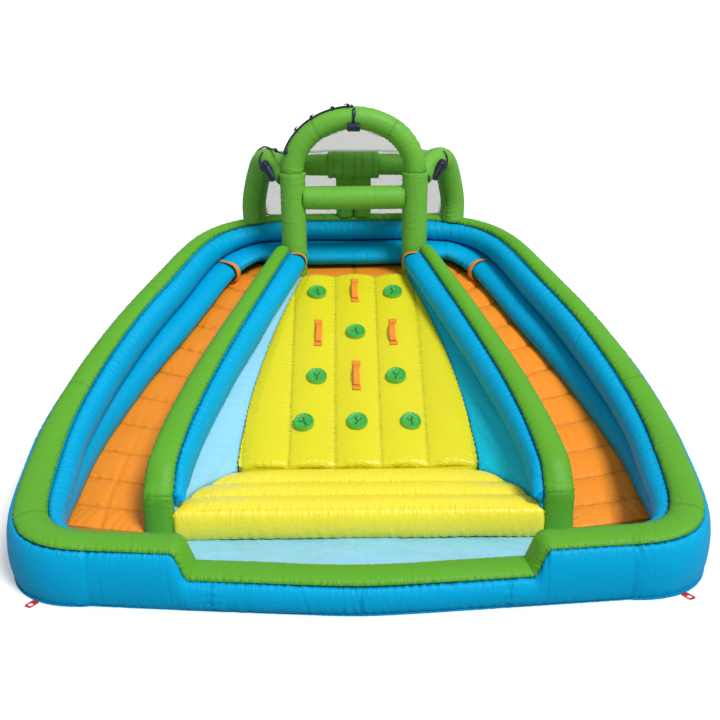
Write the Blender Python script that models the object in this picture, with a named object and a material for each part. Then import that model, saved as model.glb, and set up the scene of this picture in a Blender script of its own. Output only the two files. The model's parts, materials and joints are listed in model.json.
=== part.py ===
"""An inflatable water slide: twin curved slides, a climbing wall, a platform under arches and a splash pool.

The fabric chambers are hollow, with a skin far thicker than real coated cloth, and are open where they
meet their neighbours, as the air passages of the real chambers are. Left-hand pieces are modelled and
their right-hand twins are mirrored across the plane x = 0. The pool lies towards -Y, the platform towards +Y.
"""

import math
from collections import namedtuple

import bmesh
import bpy
from mathutils import Matrix, Vector
from mathutils.bvhtree import BVHTree

# Whole slide
LENGTH = 4.40
WIDTH = 4.66
HEIGHT = 2.60
GAP = 0.0003
SKIN = 0.012
OVERRUN = 0.25

# Perimeter wall, whose inner face follows the ring
WALL_BULGE = 0.045
WALL_FOOT = 0.25
WALL_BULGE_SHARE = 0.50
REAR_WALL_TOP = 1.50
CORNER_TOP = 0.37
RING_EASE_SHARE = 0.63
ENTRY_TOP = 0.19
ENTRY_HALF_WIDTH = 1.04
ENTRY_STEP = 0.08
RING_BEND_SHARES = (
    ((0.32, 1.00), (0.655, 1.00), (0.615, 0.75), (0.78, 0.395)),
    ((0.78, 0.395), (0.92, 0.095), (1.00, -0.20), (1.00, -0.43)),
    ((1.00, -0.43), (1.00, -0.86), (0.97, -0.945), (0.80, -0.925)),
)
LANE_STEPS = 14
CORNER_STEPS = 5

# Green cap strips on the walls
CAP_WIDTH = 0.235
CAP_REAR_WIDTH = 0.12
CAP_CROWN = 0.05
CAP_EDGE = 0.015
CAP_ARCH = 0.008

# Rolls on the inner face of the perimeter wall
UPPER_ROLL_REACH = 0.11
LOWER_ROLL_REACH = 0.25
LOWER_ROLL_FRONT_REACH = 0.05
LOWER_ROLL_EASE_SHARE = 0.60
ROLL_CLEARANCE = 0.012

# Ground sheet, which is also the pool floor
FLOOR_THICKNESS = 0.012

# Platform
DECK_TOP = 1.12
DECK_FRONT_Y = 1.32
DECK_HALF_WIDTH = 0.64

# Slide lanes
LANE_END_TOP = 0.07
LANE_BED = 0.13
LANE_EASE_SHARE = 0.26
LANE_CROWN = 0.03
LANE_TURN = 0.012

# Dividers between the lanes and the climbing wall
DIVIDER_OFFSET = 0.025
DIVIDER_NOSE_X = 1.455
DIVIDER_NOSE_Y = -1.24
DIVIDER_REAR_CLEARANCE = 0.005
DIVIDER_HANDLE_SHARES = ((0.34, 0.28), (0.95, 0.68))
DIVIDER_TOP_WIDTH = 0.10
DIVIDER_NOSE_WIDTH = 0.205
DIVIDER_START_TOP = 1.38
DIVIDER_END_TOP = 0.44
DIVIDER_STEPS = 12
DIVIDER_ROLL_HEIGHT = 0.24
DIVIDER_ROLL_START_REACH = 0.13
DIVIDER_ROLL_END_REACH = 0.07
NOSE_STATION_SHARE = 0.6
NOSE_DROP = 0.09

# Climbing wall and landing pad
CLIMB_TOP = 1.16
CLIMB_FOOT_TOP = 0.25
CLIMB_FOOT_Y = -0.62
CLIMB_BED = 0.16
CLIMB_CROWN = 0.028
CLIMB_BOW = 0.03
SEAM_PITCH = 0.34
CLIMB_TOP_HALF = 0.45
CLIMB_FOOT_HALF = 0.88
CLIMB_FLARE_SHARE = 0.62
PAD_TOP = 0.24
PAD_SIDE_CLEARANCE = 0.02
PAD_CROWN = 0.022
PAD_CHANNELS = 3
PAD_BULGE = 0.04
CLIMB_STEPS = 9
CLIMB_COLUMNS = 10
CHANNEL_COLUMNS = 4

# Superstructure over the platform
POST_RADIUS = 0.11
POST_INSET = 0.01
POST_HEIGHT = 0.91
TUBE_SIDES = 12
TUBE_STEP = 0.005
ARCH_STEPS = 14
CROSSBAR_RISE = 0.69
SIDE_ARCH_RISE = 0.155
SIDE_ARCH_SHARES = ((0.28, 0.74), (0.54, 1.00), (0.78, 0.60))
SIDE_ARCH_STEPS = 10
SIDE_FOOT_STEPS = 2
BEAM_STEPS = 5
REAR_POST_HALF_WIDTH = 0.155
REAR_POST_DEPTH = 0.10
REAR_POST_SEAT_SHARE = 0.50
RIB_VALLEY_SHARE = 0.45
SADDLE_HALF_WIDTH = 0.23
SADDLE_WALL = 0.024
NET_THICKNESS = 0.003
NET_CLEARANCE = 0.035
NET_SEAT_SHARE = 0.97
NET_EDGE_STEPS = 2

# Climbing holds, by their share of the way down the wall and their columns in channel widths
HOLD_RADIUS = 0.078
HOLD_HEIGHT = 0.05
HOLD_SINK = 0.04
HOLD_SIDES = 12
HOLD_ROW_SHARES = (
    (0.137, (-0.94, 0.94)),
    (0.373, (0,)),
    (0.606, (-0.91, 0.91)),
    (0.82, (-1.18, 0, 1.18)),
)

# Webbing grips
STRAP_WIDTH = 0.055
STRAP_THICKNESS = 0.003
STRAP_LIFT = 0.006
CLIMB_STRAP_LENGTH = 0.31
CLIMB_STRAP_RISE = 0.045
CLIMB_STRAP_SPREAD = 0.305
CLIMB_STRAP_ROW_SHARES = (0.124, 0.371, 0.60)
HANDLE_CLEARANCE = 0.035
PLATFORM_HANDLE_SHARE = 0.13
LANE_HANDLE_SHARE = 4.0
LANE_HANDLE_LIFT = 0.0025
ROLL_POINTS = 7

# Water line and sprinklers
HOSE_RADIUS = 0.0075
HOSE_CLEARANCE = 0.0044
HOSE_STEPS = 40
HOSE_SIDES = 6
COUPLING_RADIUS = 0.014
COUPLING_LENGTH = 0.05
SPRINKLER_RADIUS = 0.032
SPRINKLER_LENGTH = 0.11
SPRINKLER_STEPS = 3
HANGER_WIDTH = 0.034
HANGER_THICKNESS = 0.012
HANGER_CLEARANCE = 0.0006
HANGER_START = 50
HANGER_END = -45
HANGER_STEPS = 8

# Anchor loops and air inlet
ANCHOR_LENGTH = 0.085
ANCHOR_WIDTH = 0.055
ANCHOR_THICKNESS = 0.0024
ANCHOR_SWING = 35
ANCHOR_HOLE = 0.016
ANCHOR_HOLE_SHARE = 0.62
ANCHOR_FRONT_STEPS = 19
ANCHOR_REAR_STEPS = 5
INLET_RADIUS = 0.13
INLET_LENGTH = 0.16
INLET_Z = 0.22
INLET_STEPS = 4

# Colours: red, green, blue, and roughness
BLUE = (0.0, 0.42, 0.80, 0.45)
PALE_BLUE = (0.25, 0.62, 0.86, 0.40)
GREEN = (0.16, 0.52, 0.06, 0.45)
ORANGE = (0.95, 0.28, 0.02, 0.45)
YELLOW = (0.80, 0.75, 0.03, 0.35)
NAVY = (0.01, 0.03, 0.06, 0.40)
RED = (0.65, 0.01, 0.03, 0.60)
NET_GREY = (0.62, 0.60, 0.63, 0.70)

Station = namedtuple("Station", "at out")

WALL_DEPTH = CAP_WIDTH + WALL_BULGE
DIVIDER_START_X = DECK_HALF_WIDTH + DIVIDER_OFFSET
RING_X = WIDTH / 2 - WALL_DEPTH
RING_Y = LENGTH / 2 - WALL_DEPTH
FLOOR_TOP = FLOOR_THICKNESS + GAP
POST_X = DECK_HALF_WIDTH - POST_RADIUS - POST_INSET
POST_Y = DECK_FRONT_Y + POST_RADIUS + POST_INSET
POST_TOP = DECK_TOP + POST_HEIGHT
CROSSBAR_Z = DECK_TOP + CROSSBAR_RISE
ARCH_RADIUS = POST_RADIUS - 3 * TUBE_STEP
CROSSBAR_RADIUS = POST_RADIUS - 2 * TUBE_STEP
SIDE_ARCH_RADIUS = min(POST_RADIUS, CAP_WIDTH / 2) - TUBE_STEP
BEAM_RADIUS = SIDE_ARCH_RADIUS - 2 * TUBE_STEP


# Scene and materials


def clear_scene():
    for item in list(bpy.data.objects):
        bpy.data.objects.remove(item, do_unlink=True)


def material(name, colour):
    made = bpy.data.materials.get(name) or bpy.data.materials.new(name)
    made.use_nodes = True
    shader = made.node_tree.nodes["Principled BSDF"]
    red, green, blue, roughness = colour
    shader.inputs["Base Color"].default_value = (red, green, blue, 1)
    shader.inputs["Roughness"].default_value = roughness
    shader.inputs["Metallic"].default_value = 0
    made.diffuse_color = (red, green, blue, 1)
    return made


def finish_mesh(name, mesh_data, colour_name, colour):
    """Make an object of a bmesh, with its faces outwards and its round places smooth."""
    bmesh.ops.recalc_face_normals(mesh_data, faces=mesh_data.faces[:])
    if mesh_data.calc_volume(signed=True) < 0:
        bmesh.ops.reverse_faces(mesh_data, faces=mesh_data.faces[:])
    mesh = bpy.data.meshes.new(name)
    mesh_data.to_mesh(mesh)
    mesh_data.free()
    mesh.shade_smooth()
    mesh.set_sharp_from_angle(angle=math.radians(40))
    mesh.materials.append(material(colour_name, colour))
    made = bpy.data.objects.new(name, mesh)
    bpy.context.scene.collection.objects.link(made)
    return made


def mirrored(source, name):
    """The right-hand twin of a left-hand piece."""
    flip = Matrix.Diagonal((-1, 1, 1, 1))
    mesh = source.data.copy()
    mesh.name = name
    mesh.transform(flip)
    mesh.flip_normals()
    twin = bpy.data.objects.new(name, mesh)
    twin.matrix_basis = flip @ source.matrix_basis @ flip
    bpy.context.scene.collection.objects.link(twin)
    return twin


def as_cutter(item):
    item.hide_render = True
    item.display_type = "WIRE"
    return item


def cut(item, cutter, operation="DIFFERENCE"):
    modifier = item.modifiers.new(cutter.name, "BOOLEAN")
    modifier.operation = operation
    modifier.solver = "EXACT"
    modifier.object = cutter


def cut_pair(left, right, cutters):
    """Cut a left-hand piece by its cutters and the right-hand one by their mirror images."""
    for cutter in cutters:
        cut(left, cutter)
        name = cutter.name + "_mirrored"
        cut(right, bpy.data.objects.get(name) or as_cutter(mirrored(cutter, name)))


# Curves and sections


def ease(share, strength):
    """A share that starts and ends gently."""
    return share - strength * math.sin(2 * math.pi * share) / (2 * math.pi)


def blend(first, last, share):
    return first + (last - first) * share


def bezier(knots, share):
    rest = 1 - share
    weights = (rest**3, 3 * rest**2 * share, 3 * rest * share**2, share**3)
    return sum((Vector(knot) * weight for knot, weight in zip(knots, weights)), Vector(knots[0]) * 0)


def even_points(curve, count):
    """Points of a curve, given as a function of 0 to 1, at equal steps along its length."""
    fine = [curve(i / (20 * count)) for i in range(20 * count + 1)]
    lengths = [0]
    for first, second in zip(fine, fine[1:]):
        lengths.append(lengths[-1] + (second - first).length)
    found = []
    index = 0
    for step in range(count + 1):
        target = lengths[-1] * step / count
        while index < len(fine) - 2 and lengths[index + 1] < target:
            index += 1
        span = lengths[index + 1] - lengths[index]
        share = min(max((target - lengths[index]) / span, 0), 1)
        found.append(fine[index].lerp(fine[index + 1], share))
    return found


def smooth_route(points, share):
    """A smooth curve through the points, as a function of 0 to 1."""
    spans = len(points) - 1
    index = min(int(share * spans), spans - 1)
    local = share * spans - index
    before = points[max(index - 1, 0)]
    first, second = points[index], points[index + 1]
    after = points[min(index + 2, spans)]
    start_pull = (second - before) / 6
    end_pull = (after - first) / 6
    return bezier((first, first + start_pull, second - end_pull, second), local)


def inset(section, depth):
    """A flat closed outline drawn inwards by the depth."""
    count = len(section)
    area = sum(
        section[i][0] * section[(i + 1) % count][1] - section[(i + 1) % count][0] * section[i][1]
        for i in range(count)
    )
    turn = 1 if area > 0 else -1
    inner = []
    for i in range(count):
        here = Vector(section[i])
        back = (here - Vector(section[i - 1])).normalized()
        ahead = (Vector(section[(i + 1) % count]) - here).normalized()
        back_in = Vector((-back.y, back.x)) * turn
        ahead_in = Vector((-ahead.y, ahead.x)) * turn
        inner.append(here + (back_in + ahead_in) * (depth / (1 + back_in.dot(ahead_in))))
    return inner


def raise_section(station, section):
    """Stand a flat outline, of outward distance and height, at a station of a plan curve."""
    return [
        Vector((station.at.x + station.out.x * reach, station.at.y + station.out.y * reach, height))
        for reach, height in section
    ]


def rows_between(data, first, second):
    """Triangles between two loops, whose diagonals all lean the same way."""
    count = len(first)
    for i in range(count):
        j = (i + 1) % count
        data.faces.new((first[i], first[j], second[j]))
        data.faces.new((first[i], second[j], second[i]))


def loft(name, loops, colour_name, colour, hollow_loops=None, open_start=True, open_end=True):
    """Skin a row of closed loops, with the hollow inside it open at one or both ends."""
    data = bmesh.new()
    outer = [[data.verts.new(point) for point in loop] for loop in loops]
    for first, second in zip(outer, outer[1:]):
        rows_between(data, first, second)
    if hollow_loops is None:
        data.faces.new(outer[0])
        data.faces.new(outer[-1])
        return finish_mesh(name, data, colour_name, colour)
    hollow_loops = [list(loop) for loop in hollow_loops]
    if not open_start:
        hollow_loops[0] = drawn_back(hollow_loops[0], hollow_loops[1])
    if not open_end:
        hollow_loops[-1] = drawn_back(hollow_loops[-1], hollow_loops[-2])
    inner = [[data.verts.new(point) for point in loop] for loop in hollow_loops]
    for first, second in zip(inner, inner[1:]):
        rows_between(data, first, second)
    for is_open, outside, inside in ((open_start, outer[0], inner[0]), (open_end, outer[-1], inner[-1])):
        if is_open:
            rows_between(data, outside, inside)
        else:
            data.faces.new(outside)
            data.faces.new(inside)
    return finish_mesh(name, data, colour_name, colour)


def drawn_back(loop, next_loop):
    """An end loop moved one skin towards its neighbour."""
    moved = []
    for here, there in zip(loop, next_loop):
        moved.append(here + (there - here).normalized() * SKIN)
    return moved


def loft_stations(name, stations, sections, colour_name, colour, skin=None, **ends):
    loops = [raise_section(station, section) for station, section in zip(stations, sections)]
    hollow = None
    if skin:
        pairs = zip(stations, sections)
        hollow = [raise_section(station, inset(section, skin)) for station, section in pairs]
    return loft(name, loops, colour_name, colour, hollow, **ends)


def rings_about(points, radius, sides, upright_ends=False):
    """Rings about points in space, with no twist between them and level ones at upright ends."""
    loops = []
    start = points[1] - points[0]
    side = Vector((0, 0, 1)) if abs(start.y) > start.length / 2 else Vector((0, 1, 0))
    for i, here in enumerate(points):
        ahead = points[min(i + 1, len(points) - 1)] - points[max(i - 1, 0)]
        if upright_ends and i in (0, len(points) - 1):
            ahead = Vector((0, 0, ahead.z))
        ahead.normalize()
        side = (side - ahead * side.dot(ahead)).normalized()
        up = ahead.cross(side)
        loops.append([
            here + (side * math.cos(turn) + up * math.sin(turn)) * radius
            for turn in (2 * math.pi * k / sides for k in range(sides))
        ])
    return loops


def tube(name, points, radius, colour_name, colour, upright_ends=False):
    """A hollow fabric tube along points, open at both ends."""
    loops = rings_about(points, radius, TUBE_SIDES, upright_ends)
    inner = rings_about(points, radius - SKIN, TUBE_SIDES, upright_ends)
    return loft(name, loops, colour_name, colour, inner)


def solid_tube(name, points, radius, upright_ends=False):
    """A solid tube that cuts or joins another piece."""
    rings = rings_about(points, radius, TUBE_SIDES, upright_ends)
    return as_cutter(loft(name, rings, "green_fabric", GREEN))


# The ring: plan stations of the perimeter wall's inner face, left half


def ring_bend(index):
    knots = [(-x * RING_X, y * RING_Y) for x, y in RING_BEND_SHARES[index]]
    if index == 0:
        knots[0] = (-DECK_HALF_WIDTH - 2 * GAP, RING_Y)
    return lambda share: bezier(knots, share)


def with_outward(points):
    stations = []
    for i, here in enumerate(points):
        ahead = points[min(i + 1, len(points) - 1)] - points[max(i - 1, 0)]
        ahead.normalize()
        stations.append(Station(here, Vector((ahead.y, -ahead.x))))
    return stations


def ring_stations():
    """The left half from the rear centre to the front corner seam, and then along the front."""
    lane_curve = (ring_bend(0), ring_bend(1))

    def along(share):
        return lane_curve[0](share * 2) if share < 0.5 else lane_curve[1](share * 2 - 1)

    rear_centre = Vector((-GAP / 2, RING_Y))
    side = even_points(along, LANE_STEPS)
    corner = even_points(ring_bend(2), CORNER_STEPS)[1:]
    points = [rear_centre] + side + corner
    stations = with_outward(points)
    stations[0] = Station(rear_centre, Vector((0, 1)))
    # the corner's last station squares up to the front wall, whose line runs to the front centre
    seam = points[-1]
    front = Vector((0, -RING_Y)) - seam
    front.normalize()
    stations[-1] = Station(seam, Vector((front.y, -front.x)))
    return stations


def ring_shares(stations):
    """How far round each station is, from 0 at the rear corner to 1 at the front corner seam."""
    lengths = [0, 0]
    for first, second in zip(stations[1:], stations[2:]):
        lengths.append(lengths[-1] + (second.at - first.at).length)
    return [length / lengths[-1] for length in lengths]


def ring_top(share):
    return blend(REAR_WALL_TOP, CORNER_TOP, ease(share, RING_EASE_SHARE))


def lane_top(step):
    """Height of the slide's surface at a lane step, level at first and then falling."""
    share = min(max((step - 1) / (LANE_STEPS - 1), 0), 1)
    return blend(DECK_TOP, LANE_END_TOP, ease(share, LANE_EASE_SHARE))


def backed_off(stations):
    """The same stations with the last one drawn back by a gap, clear of the next piece."""
    last, before = stations[-1], stations[-2]
    back = (before.at - last.at).normalized() * GAP
    return stations[:-1] + [Station(last.at + back, last.out)]


# Perimeter wall, caps and rolls


def quarter(centre, reach, rise, angles):
    """Points on a quarter ellipse, of outward distance and height."""
    return [
        (centre[0] + reach * math.cos(math.radians(a)), centre[1] + rise * math.sin(math.radians(a)))
        for a in angles
    ]


def cap_width(share):
    return blend(CAP_REAR_WIDTH, CAP_WIDTH, share)


def wall_section(top, strip=CAP_WIDTH):
    belly = top * WALL_BULGE_SHARE
    upper = quarter((strip, belly), WALL_DEPTH - strip, top - belly, (65, 35))
    lower = quarter((WALL_FOOT, belly), WALL_DEPTH - WALL_FOOT, belly, (-35, -65))
    return [(0, 0), (0, top), (strip, top)] + upper + [(WALL_DEPTH, belly)] + lower + [(WALL_FOOT, 0)]


def cap_section(top, strip=CAP_WIDTH, lift=GAP, depth=None):
    """The padded strip on a wall; a depth replaces its underside by a straight drop, for cutting."""
    base = top + lift
    crown = [
        (strip, base + CAP_EDGE),
        (strip * 0.8, base + CAP_CROWN * 0.8),
        (strip * 0.5, base + CAP_CROWN),
        (strip * 0.2, base + CAP_CROWN * 0.8),
        (0, base + CAP_EDGE),
    ]
    if depth is None:
        return [(0, base), (strip / 2, base + CAP_ARCH), (strip, base)] + crown
    return [(-lift, base - depth), (strip / 2, base - depth), (strip + lift, base - depth)] + [
        (strip + lift, crown[0][1]), crown[1], crown[2], crown[3], (-lift, crown[4][1])
    ]


def roll_section(low, high, reach, side=-1):
    """A fabric roll with a flat back on the wall and its round side towards the lane."""
    middle, half = (low + high) / 2, (high - low) / 2
    crown = [
        (side * (GAP + reach * math.cos(math.radians(a))), middle + half * math.sin(math.radians(a)))
        for a in (-72, -36, 0, 36, 72)
    ]
    return [(side * GAP, low)] + crown + [(side * GAP, high)]


def roll_limits(stations, shares):
    """Bottom, seam and top of the two rolls at each ring station, and how far each stands out."""
    limits = []
    for i, share in enumerate(shares):
        top = ring_top(share)
        step = min(max(i - 1, 0), LANE_STEPS)
        bottom = lane_top(step) + LANE_CROWN + ROLL_CLEARANCE
        seam = (top + bottom) / 2
        lower = blend(LOWER_ROLL_REACH, LOWER_ROLL_FRONT_REACH, ease(share, LOWER_ROLL_EASE_SHARE))
        upper = min(UPPER_ROLL_REACH, (top - seam) * 0.6)
        limits.append((bottom, seam, top, lower, upper))
    return limits


def make_perimeter(stations, shares):
    limits = roll_limits(stations, shares)
    ended = backed_off(stations)
    walls = [wall_section(ring_top(share), cap_width(share)) for share in shares]
    wall = loft_stations("outer_wall_left", ended, walls, "blue_fabric", BLUE, SKIN)
    caps = [cap_section(ring_top(share), cap_width(share)) for share in shares]
    cap = loft_stations("cap_left", ended, caps, "green_fabric", GREEN)
    upper = loft_stations(
        "upper_roll_left", ended,
        [roll_section(seam + GAP, top, up) for bottom, seam, top, low, up in limits],
        "blue_fabric", BLUE, SKIN, open_end=False)
    lower = loft_stations(
        "lower_roll_left", ended,
        [roll_section(bottom, seam - GAP, low) for bottom, seam, top, low, up in limits],
        "blue_fabric", BLUE, SKIN, open_end=False)
    for left in (wall, cap, upper, lower):
        mirrored(left, left.name.replace("_left", "_right"))


def make_cap_cutter(stations, shares):
    sections = [cap_section(ring_top(share), cap_width(share), 2 * GAP, OVERRUN) for share in shares]
    cutter = loft_stations("cap_cutter", stations, sections, "green_fabric", GREEN)
    return as_cutter(cutter)


def front_stations():
    """Stations of the whole front wall from the left corner seam to the right one, and their tops."""
    seam = ring_bend(2)(1)
    centre = Vector((0, -RING_Y))
    ahead = (centre - seam).normalized()
    out = Vector((ahead.y, -ahead.x))
    first = seam + ahead * GAP

    def at_x(x):
        return first + (centre - first) * ((x - first.x) / (centre.x - first.x))

    rows = [
        (first, CORNER_TOP),
        (at_x(-ENTRY_HALF_WIDTH - ENTRY_STEP), CORNER_TOP),
        (at_x(-ENTRY_HALF_WIDTH), ENTRY_TOP),
        (at_x(-ENTRY_HALF_WIDTH / 2), ENTRY_TOP),
    ]
    left = [(Station(at, out), top) for at, top in rows]
    middle = (Station(centre, Vector((0, -1))), ENTRY_TOP)
    right = [
        (Station(Vector((-s.at.x, s.at.y)), Vector((-s.out.x, s.out.y))), top) for s, top in reversed(left)
    ]
    whole = left + [middle] + right
    return [station for station, top in whole], [top for station, top in whole]


def make_front_wall():
    stations, tops = front_stations()
    loft_stations("front_wall", stations, [wall_section(top) for top in tops], "blue_fabric", BLUE, SKIN)
    loft_stations("front_cap", stations, [cap_section(top) for top in tops], "green_fabric", GREEN)


def make_floor(stations):
    """The ground sheet inside the ring."""
    left = [s.at - s.out * GAP for s in stations[1:]]
    right = [Vector((-p.x, p.y)) for p in reversed(left)]
    centre = Vector((0, -RING_Y + GAP))
    outline = left + [centre] + right
    data = bmesh.new()
    base = data.faces.new([data.verts.new((p.x, p.y, 0)) for p in outline])
    lifted = bmesh.ops.extrude_face_region(data, geom=[base])
    verts = [item for item in lifted["geom"] if isinstance(item, bmesh.types.BMVert)]
    bmesh.ops.translate(data, verts=verts, vec=(0, 0, FLOOR_THICKNESS))
    finish_mesh("pool_floor", data, "pale_fabric", PALE_BLUE)


# Dividers


def divider_stations():
    """Stations on the left divider's outer face, looking inwards, and its width at each."""
    start = Vector((-DIVIDER_START_X, DECK_FRONT_Y - DIVIDER_REAR_CLEARANCE))
    end = Vector((-DIVIDER_NOSE_X, DIVIDER_NOSE_Y))
    span = end - start
    handles = [start + Vector((span.x * x, span.y * y)) for x, y in DIVIDER_HANDLE_SHARES]
    knots = [start] + handles + [end]
    points = even_points(lambda share: bezier(knots, share), DIVIDER_STEPS)
    stations = [Station(s.at, -s.out) for s in with_outward(points)]
    # both end faces run straight across
    for index in (0, -1):
        stations[index] = Station(stations[index].at, Vector((1, 0)))
    shares = [i / DIVIDER_STEPS for i in range(DIVIDER_STEPS + 1)]
    widths = [blend(DIVIDER_TOP_WIDTH, DIVIDER_NOSE_WIDTH, share) for share in shares]
    return stations, widths


def divider_top(share):
    return blend(DIVIDER_START_TOP, DIVIDER_END_TOP, share)


def with_nose(stations, widths):
    """The divider's stations and tops with one more near the nose, where the top rounds off."""
    tops = [divider_top(i / DIVIDER_STEPS) for i in range(DIVIDER_STEPS + 1)]
    outer = stations[-2].at.lerp(stations[-1].at, NOSE_STATION_SHARE)
    before, tip = inner_point(stations[-2], widths[-2]), inner_point(stations[-1], widths[-1])
    inner = before.lerp(tip, NOSE_STATION_SHARE)
    extra = Station(outer, (inner - outer).normalized())
    extra_top = blend(tops[-2], tops[-1], NOSE_STATION_SHARE) - NOSE_DROP / 5
    return (
        stations[:-1] + [extra, stations[-1]],
        widths[:-1] + [(inner - outer).length, widths[-1]],
        tops[:-1] + [extra_top, tops[-1] - NOSE_DROP],
    )


def inner_point(station, width):
    return station.at + station.out * width


def make_dividers(stations, widths):
    nosed, nosed_widths, tops = with_nose(stations, widths)
    sections = [
        [(0, FLOOR_TOP), (0, top), (width, top), (width, FLOOR_TOP)]
        for top, width in zip(tops, nosed_widths)
    ]
    slab = loft_stations("divider_left", nosed, sections, "blue_fabric", BLUE, SKIN, open_end=False)
    cap = divider_cap(nosed, nosed_widths, tops)
    faces = [Station(inner_point(s, w), s.out) for s, w in zip(stations, widths)]
    edges, edge_tops = edge_points()
    roll_sections = []
    for i, edge_top in enumerate(edge_tops):
        share = i / DIVIDER_STEPS
        top = divider_top(share) - (NOSE_DROP if i == DIVIDER_STEPS else 0)
        reach = blend(DIVIDER_ROLL_START_REACH, DIVIDER_ROLL_END_REACH, share)
        room = top - edge_top - CLIMB_CROWN - ROLL_CLEARANCE
        roll_sections.append(roll_section(top - min(DIVIDER_ROLL_HEIGHT, room), top, reach, side=1))
    roll = loft_stations(
        "divider_roll_left", faces, roll_sections, "blue_fabric", BLUE, SKIN, open_end=False)
    gusset = divider_gusset(faces, edges, edge_tops, roll_sections)
    for left in (slab, cap, roll, gusset):
        mirrored(left, left.name.replace("_left", "_right"))


def divider_cap(stations, widths, tops):
    """The green strip along the divider's top and down its nose."""
    centres = [Vector((*(s.at + s.out * (w / 2)), top)) for s, w, top in zip(stations, widths, tops)]
    sides = [Vector((s.out.x, s.out.y, 0)) for s in stations]
    loops = []
    for i, centre in enumerate(centres[:-1]):
        ahead = centres[i + 1] - centres[max(i - 1, 0)]
        up = ahead.cross(sides[i]).normalized()
        up = up if up.z > 0 else -up
        loops.append(strip_loop(centre, sides[i], up, widths[i] / 2))
    nose, side = centres[-1], sides[-1]
    forward = Vector((0, -1, 0))
    corner_up = Vector((0, -1, 1))
    foot = Vector((nose.x, nose.y, FLOOR_TOP + GAP))
    loops.append(strip_loop(nose, side, corner_up, widths[-1] / 2))
    loops.append(strip_loop(foot, side, forward, widths[-1] / 2))
    return loft("divider_cap_left", loops, "green_fabric", GREEN)


def strip_loop(centre, side, up, half):
    """Cross-section of a padded strip lying on a surface."""
    shape = (
        (-1, 0), (0, CAP_ARCH), (1, 0), (1, CAP_EDGE), (0.6, CAP_CROWN * 0.8), (0, CAP_CROWN),
        (-0.6, CAP_CROWN * 0.8), (-1, CAP_EDGE),
    )
    return [centre + side * (half * across) + up * (GAP + rise) for across, rise in shape]


# Climbing wall, landing pad and the gussets beside them


def climb_edge(share):
    """Half width and height of the climbing wall at a share of the way down it."""
    flare = 1 - (1 - share) ** (1 / CLIMB_FLARE_SHARE)
    half = blend(CLIMB_TOP_HALF, CLIMB_FOOT_HALF, flare)
    bow = CLIMB_BOW * math.sin(math.pi * share)
    return half, blend(CLIMB_TOP, CLIMB_FOOT_TOP, share) + bow


def edge_points():
    """Where the climbing wall and then the pad end towards the divider, one for each divider step."""
    points = []
    tops = []
    pad_steps = DIVIDER_STEPS - CLIMB_STEPS
    front_half = DIVIDER_NOSE_X - DIVIDER_NOSE_WIDTH - PAD_SIDE_CLEARANCE
    for i in range(CLIMB_STEPS + 1):
        share = i / CLIMB_STEPS
        half, top = climb_edge(share)
        points.append(Vector((-half, blend(DECK_FRONT_Y, CLIMB_FOOT_Y, share))))
        tops.append(top)
    for i in range(1, pad_steps + 1):
        share = i / pad_steps
        half = blend(CLIMB_FOOT_HALF, front_half, 1 - (1 - share) ** 2)
        points.append(Vector((-half, blend(CLIMB_FOOT_Y, DIVIDER_NOSE_Y, share))))
        tops.append(PAD_TOP)
    return points, tops


def divider_gusset(faces, edges, tops, roll_sections):
    """The pale sloping panel between the divider's roll and the yellow chambers."""
    loops = []
    for i, (face, edge, top, roll) in enumerate(zip(faces, edges, tops, roll_sections)):
        near = face.at + face.out * GAP
        away = edge - near
        reach = away.length - GAP
        low = FLOOR_TOP if i > CLIMB_STEPS else max(top - CLIMB_BED / 2, FLOOR_TOP)
        high = min(roll[0][1] - GAP, top + reach)
        lip = top - SKIN
        middle = (high + lip) / 2 + SKIN / 2
        section = [(0, low), (0, high), (reach / 2, middle), (reach, lip), (reach, low)]
        loops.append(raise_section(Station(near, away.normalized()), section))
    return loft("divider_gusset_left", loops, "pale_fabric", PALE_BLUE)


def make_climbing_wall():
    """Quilted chamber from the platform's edge down to the pad."""
    wall = loft("climbing_wall", climb_loops(0), "yellow_fabric", YELLOW, climb_loops(SKIN))
    solid = loft("climb_cutter", climb_loops(-GAP), "yellow_fabric", YELLOW)
    return wall, as_cutter(solid)


def climb_loops(skin):
    """Loops across the wall, drawn in by a skin or swollen by a negative one."""
    loops = []
    for i in range(CLIMB_STEPS + 1):
        share = i / CLIMB_STEPS
        half, top = climb_edge(share)
        y = blend(DECK_FRONT_Y - GAP, CLIMB_FOOT_Y + GAP, share)
        bottom = max(top - CLIMB_BED, FLOOR_TOP)
        inner_half = half - GAP - skin
        columns = climb_columns(inner_half)
        upper = [Vector((x, y, top - skin + quilt_height(x, half))) for x in columns]
        lower = [Vector((x, y, bottom + skin)) for x in (inner_half, 0, -inner_half)]
        loops.append(upper + lower)
    return loops


def climb_columns(half):
    """Columns of points across: the middle channels keep their pitch, the rest share what is left."""
    step = SEAM_PITCH / CHANNEL_COLUMNS
    fixed = [step * i for i in range(CHANNEL_COLUMNS + 1)]
    others = CLIMB_COLUMNS - CHANNEL_COLUMNS
    spread = [blend(fixed[-1], half, (i + 1) / others) for i in range(others)]
    positive = fixed + spread
    return [-x for x in reversed(positive)] + positive[1:]


def quilt_height(x, half):
    """Crown over each channel, between seams at half a pitch and on, sunk to nothing at the edges."""
    crown = CLIMB_CROWN * abs(math.cos(math.pi * x / SEAM_PITCH))
    edge = min(max((half - abs(x)) * 4 / SEAM_PITCH, 0), 1)
    return crown * math.sqrt(edge)


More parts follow.
